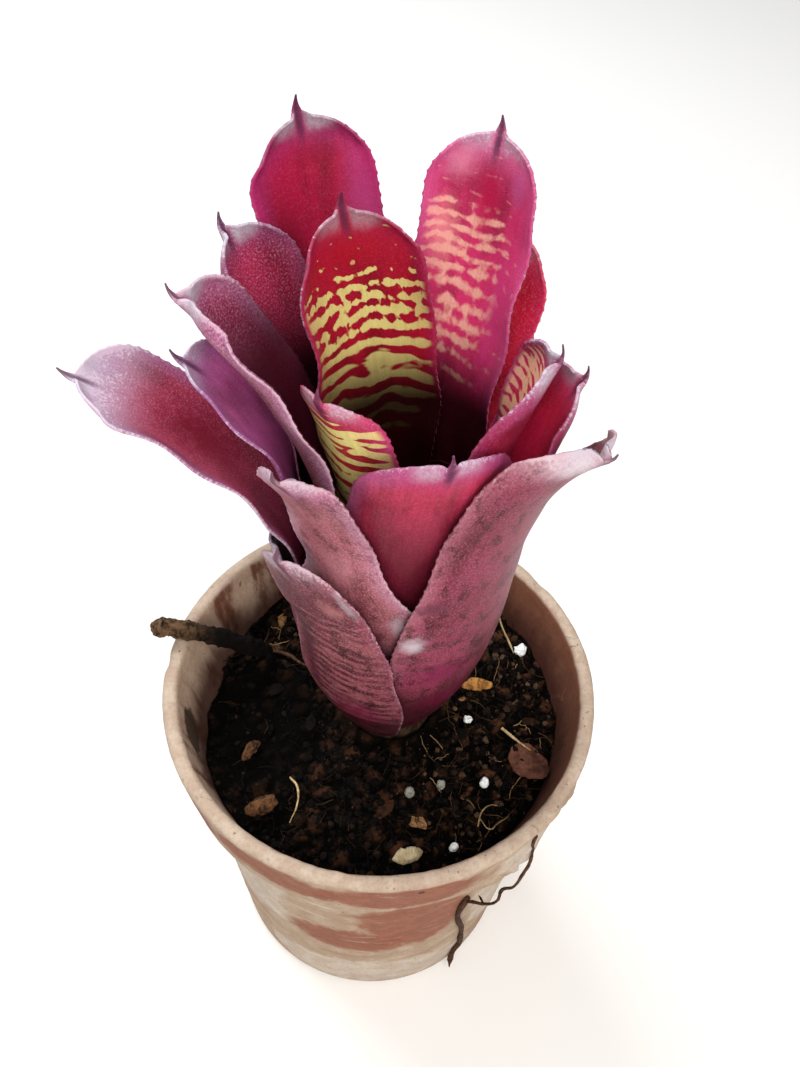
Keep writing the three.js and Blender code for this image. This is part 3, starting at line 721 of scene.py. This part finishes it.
def potOutline():  # radius and height from the drain hole round to the drain hole, in small steps
    top, shoulder, wall = pot["height"], pot["shoulder"], pot["wall"]
    corners = [
        (pot["drain"], 0), *roundCorner(pot["base"], 0, -1, 1), (shoulder, collarBottom - 0.4),
        (shoulder + 0.4, collarBottom), *roundCorner(pot["collarFoot"], collarBottom, -1, 1),
        *roundCorner(pot["rim"], top, -1, -1)[::-1], *roundCorner(pot["rim"] - wall, top, 1, -1),
        (shoulder - wall, pot["knee"]), (pot["base"] - wall, pot["floor"]), (pot["drain"], pot["floor"])]
    outline = [corners[0]]
    for (r0, z0), (r1, z1) in zip(corners, corners[1:]):
        count = max(1, round(math.hypot(r1 - r0, z1 - z0) / pot["step"]))
        outline += [(lerp(r0, r1, k / count), lerp(z0, z1, k / count)) for k in range(1, count + 1)]
    return outline


def turnPot():  # a ring at the drain hole, drawn out along the outline and closed on itself
    outline = potOutline()
    centre = Vector((potX * mm, 0, 0))
    clearSelection()
    bpy.ops.mesh.primitive_circle_add(vertices=pot["around"], radius=outline[0][0] * mm, location=centre)
    piece = bpy.context.object
    dropPlace(piece)
    setMode("EDIT")
    choose("SELECT")
    for (r0, z0), (r1, z1) in zip(outline, outline[1:]):
        bpy.ops.mesh.extrude_region_move(TRANSFORM_OT_translate={"value": (0, 0, (z1 - z0) * mm)})
        if abs(r1 - r0) > 1e-6:
            bpy.ops.transform.resize(value=(r1 / r0, r1 / r0, 1), center_override=centre)
    setMode("OBJECT")
    return piece


def closeDrain(piece):  # bridges the first ring and the last, round the drain hole
    points = readPoints(piece)
    reach = np.hypot(points[:, 0] - potX * mm, points[:, 1])
    level = (points[:, 2] < 1e-5) | (abs(points[:, 2] - pot["floor"] * mm) < 1e-5)
    ends = (reach < (pot["drain"] + 0.1) * mm) & level
    piece.data.vertices.foreach_set("select", ends)
    pairs = np.empty(len(piece.data.edges) * 2, int)
    piece.data.edges.foreach_get("vertices", pairs)
    piece.data.edges.foreach_set("select", ends[pairs.reshape(-1, 2)].all(1))
    makeActive(piece)
    setMode("EDIT")
    bpy.ops.mesh.select_mode(type="EDGE")
    bpy.ops.mesh.bridge_edge_loops()
    closeMesh()


def wearPot(piece):  # hand-made unevenness, an uneven rim and the chips along it
    points = readPoints(piece) / mm
    x, y, height = points[:, 0] - potX, points[:, 1], points[:, 2]
    reach, azimuth = np.hypot(x, y), np.degrees(np.arctan2(y, x))
    broad = np.array([noise.noise(Vector(p) * 0.045) for p in points])
    fine = np.array([noise.noise(Vector(p) * 0.35) for p in points])
    standing = smooth(height, 0.4, 4)
    shift = (pot["lumps"] * broad + pot["dents"] * fine * smooth(height, 1, 8)) * standing
    atRim = smooth(height, pot["height"] - 4, pot["height"])
    lower = atRim * (0.35 * np.maximum(0, fine) + 0.25 * broad)
    for turn, level, size, depth in pot["chips"]:
        around = np.radians((azimuth - turn + 180) % 360 - 180) * reach
        away = np.hypot(around, (height - level) * 1.4) / size
        bite = depth * np.exp(-(away**2)) * (reach > pot["rim"] - 3.4) * (1 + 0.8 * fine)
        shift = shift - bite
        lower = lower + 0.6 * bite * atRim
    scale = 1 + shift / np.maximum(reach, 1)
    writePoints(piece, np.stack([x * scale + potX, y * scale, height - lower], 1) * mm)


clay = {
    "lime": "ac9780", "chalk": "c8bdb0", "terracotta": "8c5540", "wash": "9c7862", "rim": "bfad9b",
    "dirt": "3a2a1e", "inside": "7a4e3a", "insideShade": "3e1c12", "insideLime": "c4ab94", "speck": "6b5342",
    "mottle": "c8b0a0", "dust": "b09a88",
    "red": [((14, -57, 110), (26, 16, 10), 0.7), ((-22, -54, 109), (24, 16, 9), 0.7),
            ((20, -50, 68), (20, 18, 27), 0.8), ((0, -50, 51), (21, 16, 12), 0.9),
            ((-46, -34, 107), (16, 20, 9), 0.8), ((18, -53, 96), (16, 8, 6), 0.6)],
    "pale": [((-34, -42, 66), (18, 20, 30), 0.9), ((-14, -52, 85), (20, 14, 7), 0.8),
             ((6, -44, 14), (46, 26, 15), 0.9), ((46, -36, 60), (12, 24, 40), 1.0),
             ((48, -40, 108), (16, 16, 10), 1.0), ((-20, -50, 88), (22, 16, 9), 0.7)],
    "dirty": [((-41, -37, 9), (4, 5, 6), 2.2), ((-48, -14, 108), (5, 9, 6), 1.6),
              ((18.5, -56, 114), (1.2, 3, 1.4), 1.2)],
}


def clayMaterial():
    material, tree, bsdf = newMaterial("limedClay")
    place = surfacePlace(tree)
    stain = patchGroup("stainMask", (0.11, 4, 0.6, 0.6), 0.5, 0.72, 1.0)

    def stained(spots, under, colour, most):
        for centre, size, ragged in spots:
            under = blend(patch(stain, place, centre, size, ragged) * most, under, colour)
        return under

    broad = grain(place, 0.035, 4, 0.6, 0.4)
    smear = grain(place, (0.03, 0.03, 0.11), 4, 0.65, 1.2)
    fine = grain(place, 0.9, 4, 0.7)
    face = blend(ramp(smear, 0.48, 0.7, 0, 0.7), clay["lime"], clay["wash"])
    face = blend(ramp(broad, 0.6, 0.72, 0, 0.6), face, clay["terracotta"])
    face = stained(clay["red"], face, clay["terracotta"], 0.92)
    face = stained(clay["pale"], face, clay["chalk"], 0.7)
    scraped = grain(place, (0.06, 0.06, 0.4), 5, 0.7, 0.5, shift=(4, 1, 7))
    face = blend(ramp(scraped, 0.58, 0.68, 0, 0.45), face, clay["chalk"])

    x, y, z = split(place)
    reach = length(join(x - potX, y))
    atRim = ramp(z, pot["height"] - 2.6, pot["height"] - 0.8)
    face = blend(atRim * 0.85, face, clay["rim"])
    wallLine = shader("Math", {0: z, 1: 0.262, 2: 27.0}, operation="MULTIPLY_ADD")[0]
    within = maths("LESS_THAN", reach, wallLine) * maths("GREATER_THAN", z, pot["knee"])
    # inside the wall: lime streaks, with painted light on the left and painted shade on the right; painted
    # shade also darkens the wall down towards the soil
    streak = grain(place, (0.12, 0.12, 0.025), 4, 0.6, 0.4)
    limedAndLit = ramp(streak + ramp(x, -45, 30, 0.09, -0.22), 0.42, 0.62)
    inner = blend(limedAndLit, clay["inside"], clay["insideLime"])
    shadeLevel = z + streak * 12 - ramp(x, -20, 50, 0, 3)
    inner = blend(ramp(shadeLevel, 106, 119, 0.92, 0), inner, clay["insideShade"])
    face = blend(within * ramp(z, 117.5, 118.8, 1, 0), face, inner)
    face = stained(clay["dirty"], face, clay["dirt"], 0.9)
    specks = ramp(grain(place, 0.62, 2, 0.5), 0.7, 0.76, 0, 0.75)
    face = blend(specks, face, clay["speck"])
    mottle = grain(place, 0.16, 4, 0.6, 0.3)
    face = blend(0.3, face, blend(ramp(mottle, 0.42, 0.62), tinted(face, clay["mottle"]), face))
    crack = shader("TexVoronoi", {"Vector": stretch(place, (0.06, 0.06, 0.02)), "Scale": 1},
                   feature="DISTANCE_TO_EDGE")[0]
    cracks = ramp(crack, 0, 0.01, 0.35, 0) * atRim * ramp(fine, 0.5, 0.6)
    face = blend(cracks, face, clay["dirt"])
    face = blend(ramp(fine, 0.35, 0.75, 0, 0.3), face, tinted(face, clay["dust"]))
    relief = fine * 0.5 + scraped * 0.6 - (specks + cracks)
    dress(bsdf, face, ramp(smear, 0.3, 0.7, 0.92, 0.8), 0.25, relief, 0.6, 0.5)
    return material


potPiece = turnPot()
closeDrain(potPiece)
wearPot(potPiece)
finishPiece(potPiece, "clayPot", clayMaterial(), ["pot"], 40)
print("pot turned and worn")

# ---- soil ----
soil = {
    "level": 104, "fall": 2.5, "hollow": {"azimuth": 170, "width": 55, "depth": 7, "from": 22}, "lumps": 1.1,
    "cells": 230, "clods": 2.3, "clodSize": 5.6, "crumbs": 1.1, "crumbSize": 1.9, "grit": 0.35,
    "swell": 0.8, "sink": 1.0, "stem": 12.7, "well": 20.3, "clear": 0.4,
    "shadeSpot": (-34, -8, 19, 25),  # painted shade at the left, where the soil lies under the leaves: its middle and half sizes
}


def wallRadius(height):  # inside of the pot's wall
    heights = [pot["floor"], pot["knee"], pot["height"] - pot["edge"]]
    return np.interp(height, heights, [pot[part] - pot["wall"] for part in ("base", "shoulder", "rim")])


def soilShape(x, y):  # the soil without its crumbs; x and y are from the pot's axis
    r = np.hypot(x, y)
    turn = (np.degrees(np.arctan2(y, x)) - soil["hollow"]["azimuth"] + 180) % 360 - 180
    sunk = (1 - smooth(np.abs(turn), 0, soil["hollow"]["width"])) * smooth(r, soil["hollow"]["from"], 55.8)
    lumps = np.sin(0.37 * x + 1.1) * np.cos(0.34 * y)
    lumps = lumps + 0.4 * np.sin(0.47 * x - 0.3 * y) * np.cos(0.43 * y + 2)
    raised = soil["lumps"] * lumps * smooth(r, 15, 23)
    return soil["level"] - soil["fall"] * smooth(r, 15, 60) - soil["hollow"]["depth"] * sunk + raised


def fromPlant(x, y):
    return math.hypot(x - plantOff, y - plantOff)


def soilTop(x, y):  # with its clods and crumbs, at one place
    clod = noise.voronoi(Vector((x, y, 3)) / soil["clodSize"])[0]
    crumb = noise.voronoi(Vector((x, y, 9)) / soil["crumbSize"])[0]
    rough = soil["clods"] * (clod[1] - clod[0]) + soil["crumbs"] * (0.6 - crumb[0])
    rough += soil["grit"] * noise.noise(Vector((x, y, 0)) * 1.9)
    rough += soil["swell"] * noise.noise(Vector((x, y, 5)) * 0.11)
    away = float(smooth(fromPlant(x, y), 13, 19))
    return float(soilShape(x, y)) + (rough - soil["sink"]) * (0.3 + 0.7 * away)


def drawDown(bed, height):  # the open edge is drawn down along the wall to a level ring
    bpy.ops.mesh.extrude_region_move(TRANSFORM_OT_translate={"value": (0, 0, -0.001)})
    setMode("OBJECT")
    chosen = np.empty(len(bed.data.vertices), bool)
    bed.data.vertices.foreach_get("select", chosen)
    points = readPoints(bed) / mm
    x, y = points[chosen, 0] - potX, points[chosen, 1]
    scale = (wallRadius(height) - soil["clear"]) / np.hypot(x, y)
    points[chosen] = np.stack([x * scale + potX, y * scale, np.full(len(x), float(height))], 1)
    writePoints(bed, points * mm)
    setMode("EDIT")


def makeSoilBed():
    clearSelection()
    bpy.ops.mesh.primitive_grid_add(x_subdivisions=soil["cells"], y_subdivisions=soil["cells"], size=2)
    bed = bpy.context.object
    flat = readPoints(bed)
    u, v = flat[:, 0], flat[:, 1]
    x, y = u * np.sqrt(1 - v * v / 2), v * np.sqrt(1 - u * u / 2)
    reach = wallRadius(soilShape(x * 50, y * 50)) - soil["clear"]
    x, y = x * reach, y * reach
    z = np.array([soilTop(a, b) for a, b in zip(x, y)])
    fromStem = np.hypot(x - plantOff, y - plantOff)
    inWell = fromStem < soil["stem"] + 0.1
    z = np.where(inWell, soil["level"] - soil["well"], z)
    snap = (fromStem > soil["stem"] - 0.5) & (fromStem < soil["stem"] + 0.6)
    ring = np.where(inWell, soil["stem"], soil["stem"] + 0.25)
    pull = np.where(snap, ring / np.maximum(fromStem, 1), 1)
    x, y = plantOff + (x - plantOff) * pull, plantOff + (y - plantOff) * pull
    writePoints(bed, np.stack([x + potX, y, z], 1) * mm)
    addAttribute(bed, "crest", z - soilShape(x, y), "FLOAT")
    makeActive(bed)
    setMode("EDIT")
    bpy.ops.mesh.select_mode(type="EDGE")
    choose("DESELECT")
    bpy.ops.mesh.select_non_manifold()
    drawDown(bed, pot["knee"])
    drawDown(bed, pot["floor"] + 0.3)
    bpy.ops.mesh.edge_face_add()
    closeMesh()
    return bed


peat = {"dark": "020100", "brown": "24160f", "rust": "573623", "tan": "7a583c"}


def peatMaterial():
    material, tree, bsdf = newMaterial("peat")
    place = surfacePlace(tree)
    broad = grain(place, 0.06, 3, 0.6)
    clods = grain(place, 0.32, 5, 0.7, 0.8)
    fine = grain(place, 1.7, 4, 0.7)
    raised = attribute(tree, "crest", "Fac") * 1.4 + clods * 1.6
    face = blend(ramp(raised, 0, 1.3), peat["dark"], peat["brown"])
    rusty = ramp(raised + fine, 1.0, 2.2) * ramp(split(place)[0], 0, 30, 0.5, 1)
    face = blend(rusty, face, peat["rust"])
    bits = grain(place, (1.1, 0.5, 0.9), 2, 0.5, shift=(3, 8, 1))
    face = blend(ramp(bits, 0.7, 0.76, 0, 0.8), face, peat["tan"])
    face = blend(ramp(broad, 0.4, 0.7, 0.55, 0), face, peat["dark"])
    # painted shade: the soil at the left darkens to near black under the leaves
    across, along, wide, long = soil["shadeSpot"]
    spot = stretch(place, (1 / wide, 1 / long, 0), (-(across + potX) / wide, -along / long, 0))
    face = blend(ramp(length(spot), 0.6, 1.15, 0.9, 0), face, peat["dark"])
    dress(bsdf, face, ramp(fine, 0.3, 0.7, 0.7, 0.98), 0.06, clods + fine * 0.6, 0.9, 1.2)
    return material


finishPiece(makeSoilBed(), "soilBed", peatMaterial(), ["soil"], 180)
print("soil laid")

# ---- loose bits on the soil ----
litter = {
    "crumbs": 2300, "crumbSizes": (0.3, 1.35), "flakes": 70, "flakeSizes": (1.5, 3.8),
    "flakeForm": (1, 0.55, 0.2), "fibres": 560, "fibreLengths": (3, 10), "fibreThick": (0.07, 0.18),
    "fibreSteps": 6, "seed": 7, "reach": 50, "fromPlant": 17.5, "clear": 0.35,
    "pile": (-30, 23, 9),  # pale bits gather here: its middle and reach
}


def shownBase(kind):  # one crumb and one flake, shaped once and then copied
    clearSelection()
    bpy.ops.mesh.primitive_ico_sphere_add(subdivisions=1, radius=1)
    base = bpy.context.object
    if kind == "flake":
        base.scale = litter["flakeForm"]
        dropPlace(base)
    points = readPoints(base)
    faces = [list(face.vertices) for face in base.data.polygons]
    bpy.data.objects.remove(base)
    return points, faces


def strand(rng, reach, thick):  # a thin bent fibre, four-sided, lying along X
    steps, bend = litter["fibreSteps"], rng.uniform(-0.9, 0.9)
    points, faces = [], []
    for i in range(steps + 1):
        t = i / steps - 0.5
        sag = reach * bend * (t * t - 0.1) + 0.2 * rng.uniform(-1, 1)
        centre = Vector((reach * t, sag, reach * 0.12 * rng.uniform(0, 1)))
        r = thick * (1 - 1.4 * t * t)
        points += [centre + Vector((0, r * math.cos(a), r * math.sin(a)))
                   for a in (0.785, 2.356, 3.927, 5.498)]
    for i in range(steps):
        faces += [[4 * i + j, 4 * i + 4 + j, 4 * i + 4 + (j + 1) % 4, 4 * i + (j + 1) % 4] for j in range(4)]
    return points, faces + [[0, 1, 2, 3], [4 * steps + 3, 4 * steps + 2, 4 * steps + 1, 4 * steps]]


def scatterPlace(rng):  # somewhere on the soil, clear of the plant
    across, along, wide, long = soil["shadeSpot"]
    while True:
        r, a = litter["reach"] * math.sqrt(rng.random()), rng.uniform(0, 2 * math.pi)
        x, y = r * math.cos(a), r * math.sin(a)
        # few bits lie in the painted shade at the left
        inShadeSpot = math.hypot((x - across) / wide, (y - along) / long) < 1
        if fromPlant(x, y) > litter["fromPlant"] and not (inShadeSpot and rng.random() < 0.85):
            return x, y


def scatter(name, kind, count, colours):
    rng = random.Random(litter["seed"] + len(name))
    allPoints, allFaces, tones = [], [], []
    base = None if kind == "fibre" else shownBase(kind)
    pileX, pileY, pileSize = litter["pile"]
    for _ in range(count):
        x, y = scatterPlace(rng)
        if kind == "fibre":
            reach, thick = rng.uniform(*litter["fibreLengths"]), rng.uniform(*litter["fibreThick"])
            points, faces = strand(rng, reach, thick)
        else:
            size = lerp(*litter[kind + "Sizes"], rng.random() ** 2)
            points, faces = [Vector(p) * (size * rng.uniform(0.7, 1.25)) for p in base[0]], base[1]
        turn = Matrix.Rotation(rng.uniform(0, 2 * math.pi), 3, "Z")
        turn = turn @ Matrix.Rotation(rng.uniform(-0.5, 0.5), 3, "Y")
        lift = 0.25 * size if kind == "crumb" else 0.5
        at = Vector((x, y, soilTop(x, y) + lift))
        allFaces += [[i + len(allPoints) for i in face] for face in faces]
        allPoints += [turn @ Vector(p) + at for p in points]
        light = x > 12 or math.hypot(x - pileX, y - pileY) < pileSize
        tones += [rng.random() ** 4.2 * (0.4 + 0.6 * light)] * len(points)
    mesh = bpy.data.meshes.new(name)
    inward = [min(1, (wallRadius(p.z) - litter["clear"]) / math.hypot(p.x, p.y)) for p in allPoints]
    placed = [((p.x * k + potX) * mm, p.y * k * mm, p.z * mm) for p, k in zip(allPoints, inward)]
    mesh.from_pydata(placed, [], allFaces)
    piece = newObject(name, mesh)
    addAttribute(piece, "tone", tones, "FLOAT")
    finishPiece(piece, name, litterMaterial(kind, *colours), (), 60 if kind == "fibre" else 25)


def litterMaterial(name, dark, middle, light):
    material, tree, bsdf = newMaterial(name)
    tone = attribute(tree, "tone", "Fac")
    fine = grain(surfacePlace(tree), 1.3, 3, 0.6)
    face = blend(ramp(tone, 0.02, 0.3), dark, middle)
    face = blend(ramp(tone, 0.35, 0.95), face, light)
    face = blend(ramp(fine, 0.4, 0.7, 0, 0.55), face, tinted(face, "7a6a5c"))
    dress(bsdf, face, ramp(fine, 0.3, 0.7, 0.75, 0.95), 0.1, fine, 0.6, 0.4)
    return material


scatter("soilCrumbs", "crumb", litter["crumbs"], ("060302", "281a12", "544030"))
scatter("barkFlakes", "flake", litter["flakes"], ("0d0704", "351e11", "8c6642"))
scatter("peatFibres", "fibre", litter["fibres"], ("0f0805", "33210f", "927450"))
print("crumbs, flakes and fibres scattered")

# ---- finer forms of the laid pieces ----
laid = {  # cuts, roughness, its pitch and the finish
    "dead_stub": (4, 0.7, 0.55, "stub"),
    "dry_leaf_scrap": (4, 0.7, 0.4, "dryLeaf"),
    "pale_chip": (3, 0.35, 0.5, "chip"),
    "bark_right": (3, 0.5, 0.6, "orange"),
    "bark_left": (3, 0.5, 0.6, "bark"),
    "bark_front": (3, 0.6, 0.6, "bark"),
    "perlite_back": (3, 0.7, 0.7, "perlite"),
    "perlite_side": (3, 0.25, 1.1, "perlite"),
    "perlite_right": (3, 0.25, 1.1, "perlite"),
    "perlite_middle": (3, 0.25, 1.1, "soiled"),
    "perlite_left": (3, 0.25, 1.1, "soiled"),
    "perlite_front": (3, 0.25, 1.1, "perlite"),
}


def bitMaterial(name, dark, light, scale, rough, contrast=(0.35, 0.65), relief=0.6, paintedShade=None):
    material, tree, bsdf = newMaterial(name)
    place = surfacePlace(tree)
    mottle = grain(place, scale, 4, 0.65, 0.5)
    fine = grain(place, 2.4, 3, 0.7)
    face = blend(ramp(mottle, *contrast), dark, light)
    face = blend(ramp(fine, 0.5, 0.75, 0, 0.5), face, dark)
    if paintedShade:  # painted shadow: darker from one place along X to another, where the stub runs into the shade in the pot
        face = blend(ramp(split(place)[0] + mottle * 6, *paintedShade), face, "080402")
    roughness = ramp(mottle, 0.3, 0.7, rough, min(1, rough + 0.15))
    dress(bsdf, face, roughness, 0.12, mottle + fine * 0.6, relief, 0.6)
    return material


finishes = {  # the slot and the material
    # the stub's bark takes painted shadow towards its inner end
    "stub": ("bark", bitMaterial("stubBark", "140c07", "6e543c", (0.5,) * 3, 0.85, paintedShade=(-52, -38))),
    "dryLeaf": ("dry_leaf", bitMaterial("dryLeaf", "3e241a", "6c4436", (0.25,) * 3, 0.7, relief=0.3)),
    "orange": ("bark", bitMaterial("orangeBark", "7a4c24", "b98648", (0.5, 0.2, 0.5), 0.8)),
    "soiled": ("perlite", bitMaterial("soiledPerlite", "4c4a44", "8a887e", (0.9,) * 3, 0.85, (0.3, 0.5))),
    "chip": ("pale_chip", bitMaterial("woodChip", "9a8462", "cdbd98", (0.5, 0.15, 0.5), 0.8)),
    "bark": ("bark", bitMaterial("barkBit", "2a1a10", "6e4a2e", (0.6, 0.3, 0.6), 0.85)),
    "perlite": ("perlite", bitMaterial("perlite", "c8c8c2", "f4f6f5", (0.9,) * 3, 0.85, (0.3, 0.5))),
    "root": ("bark", bitMaterial("rootSkin", "2c1a12", "5a3e2c", (0.8,) * 3, 0.8)),
    "straw": ("bark", bitMaterial("straw", "8a7048", "c9b083", (0.4,) * 3, 0.7, relief=0.3)),
}


def finerPiece(node, cuts, rough, pitch, finish):
    piece = newObject("fine." + node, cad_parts[node].data.copy())
    makeActive(piece)
    setMode("EDIT")
    choose("SELECT")
    bpy.ops.mesh.remove_doubles(threshold=1e-6)
    bpy.ops.mesh.subdivide(number_cuts=cuts, smoothness=0.6)
    setMode("OBJECT")
    points = readPoints(piece) / mm
    normals = np.array([v.normal for v in piece.data.vertices])
    push = np.array([noise.fractal(Vector(p) * pitch, 0.8, 2.1, 3) for p in points])
    writePoints(piece, (points + normals * (rough * (push - 0.15))[:, None]) * mm)
    slotName, material = finishes[finish]
    finishPiece(piece, "fine." + node, material, [node], 70)


for node, asked in laid.items():
    finerPiece(node, *asked)
print("laid pieces refined:", len(laid))

# ---- roots, straws and fibres modelled one by one ----
potStrands = {  # thickness, finish, and azimuth, height and distance from the pot of each knot
    "potRootletTop": (0.45, "root", [
        (-45, 117.5, 0.4), (-45, 112.5, 0.6), (-43.5, 104, 1.5), (-45, 101, 2.7), (-48, 99.5, 3.6),
        (-51, 98, 4.4), (-53, 95.5, 7.5), (-54.5, 91, 8.4), (-56, 85, 6.4), (-57, 79, 3), (-57.4, 73, 0.8)]),
    "potRootlet": (0.85, "root", [
        (-56.6, 76, 0.9), (-57.5, 70, 0.7), (-57.8, 62, 0.7), (-56, 52, 0.8), (-53, 42, 0.7), (-51, 32, 0.7),
        (-50, 24.5, 0.7), (-49, 15, 0.8), (-51, 11, 0.9), (-52, 5, 1.6), (-53.5, 2.4, 3.2)]),
    "potRootletTwig": (0.3, "root", [(-56, 84, 5.6), (-54.6, 80, 3.6), (-53.6, 77, 2)]),
}
soilStrands = {  # thickness, finish, and x and y from the pot's axis and height over the soil of each knot
    "straw": (0.42, "straw", [(35.5, -4.5, 1.9), (38, -6.6, 1.9), (40.6, -9, 1.9), (43.6, -11.6, 2.1)]),
    "paleFibre": (0.32, "straw", [
        (29.5, 33, 13), (33, 31.4, 10.5), (36, 28, 6), (38.6, 24.4, 2.4), (39.6, 22.4, 1)]),
    "thinRootA": (0.16, "straw", [
        (29.5, -32, 1), (32.4, -35.4, 1.6), (33.8, -34.2, 1.8), (36.6, -31.4, 1.6), (38.6, -28.8, 1.2)]),
    "thinRootB": (0.2, "straw", [(29, -34, 1.2), (30, -30.4, 1.8), (32.4, -28.2, 1.8), (34.4, -27.6, 1)]),
    "thinRootC": (0.15, "root", [
        (30.8, -37, 1), (34.2, -33.4, 1.8), (36.4, -31.6, 1.9), (39.8, -27.4, 1.4)]),
    "stubRoot": (0.5, "root", [(-33, 18, 1), (-28, 16.4, 1.6), (-24, 12.6, 1.8), (-21, 11.6, 0.8)]),
    "gritRoot": (0.3, "straw", [(-23, -24, 1), (-20.6, -27.4, 1.9), (-20.2, -32, 2), (-21.8, -36.6, 1.2)]),
}


def onPot(azimuth, height, away):
    if height >= collarBottom:
        wall = lerp(pot["collarFoot"], pot["rim"], (height - collarBottom) / pot["collar"])
    else:
        wall = lerp(pot["base"], pot["shoulder"], height / collarBottom)
    r, a = wall + away, math.radians(azimuth)
    return Vector((r * math.cos(a) + potX, r * math.sin(a), height))


def onSoil(x, y, above):
    return Vector((x + potX, y, float(soilShape(x, y)) + above))


def strandPiece(name, thick, finish, knots):
    line = bpy.data.curves.new(name, "CURVE")
    line.dimensions, line.bevel_depth = "3D", thick * mm
    line.bevel_resolution, line.resolution_u = 2, 6
    line.use_fill_caps = True
    spline = line.splines.new("BEZIER")
    spline.bezier_points.add(len(knots) - 1)
    for index, (knot, place) in enumerate(zip(spline.bezier_points, knots)):
        knot.co = place * mm
        knot.handle_left_type = knot.handle_right_type = "AUTO"
        knot.radius = (0.35 if index == len(knots) - 1 else 1) * (1 + 0.22 * math.sin(2.3 * index))
    makeActive(newObject(name, line))
    bpy.ops.object.convert(target="MESH")
    piece = bpy.context.object
    at = readPoints(piece) / mm
    wobble = np.array([noise.noise_vector(Vector(p) * 0.9) for p in at])
    writePoints(piece, (at + wobble * 0.25 * thick) * mm)
    slotName, material = finishes[finish]
    finishPiece(piece, name, material, (), 80)


noise.seed_set(litter["seed"])  # without a seed, the vector noise of the wobble would follow the clock
for strands, put in ((potStrands, onPot), (soilStrands, onSoil)):
    for name, (thick, finish, knots) in strands.items():
        strandPiece(name, thick, finish, [put(*knot) for knot in knots])
print("strands:", len(potStrands) + len(soilStrands))

# ---- stem ----
stemBark = bitMaterial("stemSkin", "1c120b", "3e2d1d", (0.4, 0.4, 0.12), 0.75)
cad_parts["stem"].data.materials.clear()
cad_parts["stem"].data.materials.append(stemBark)
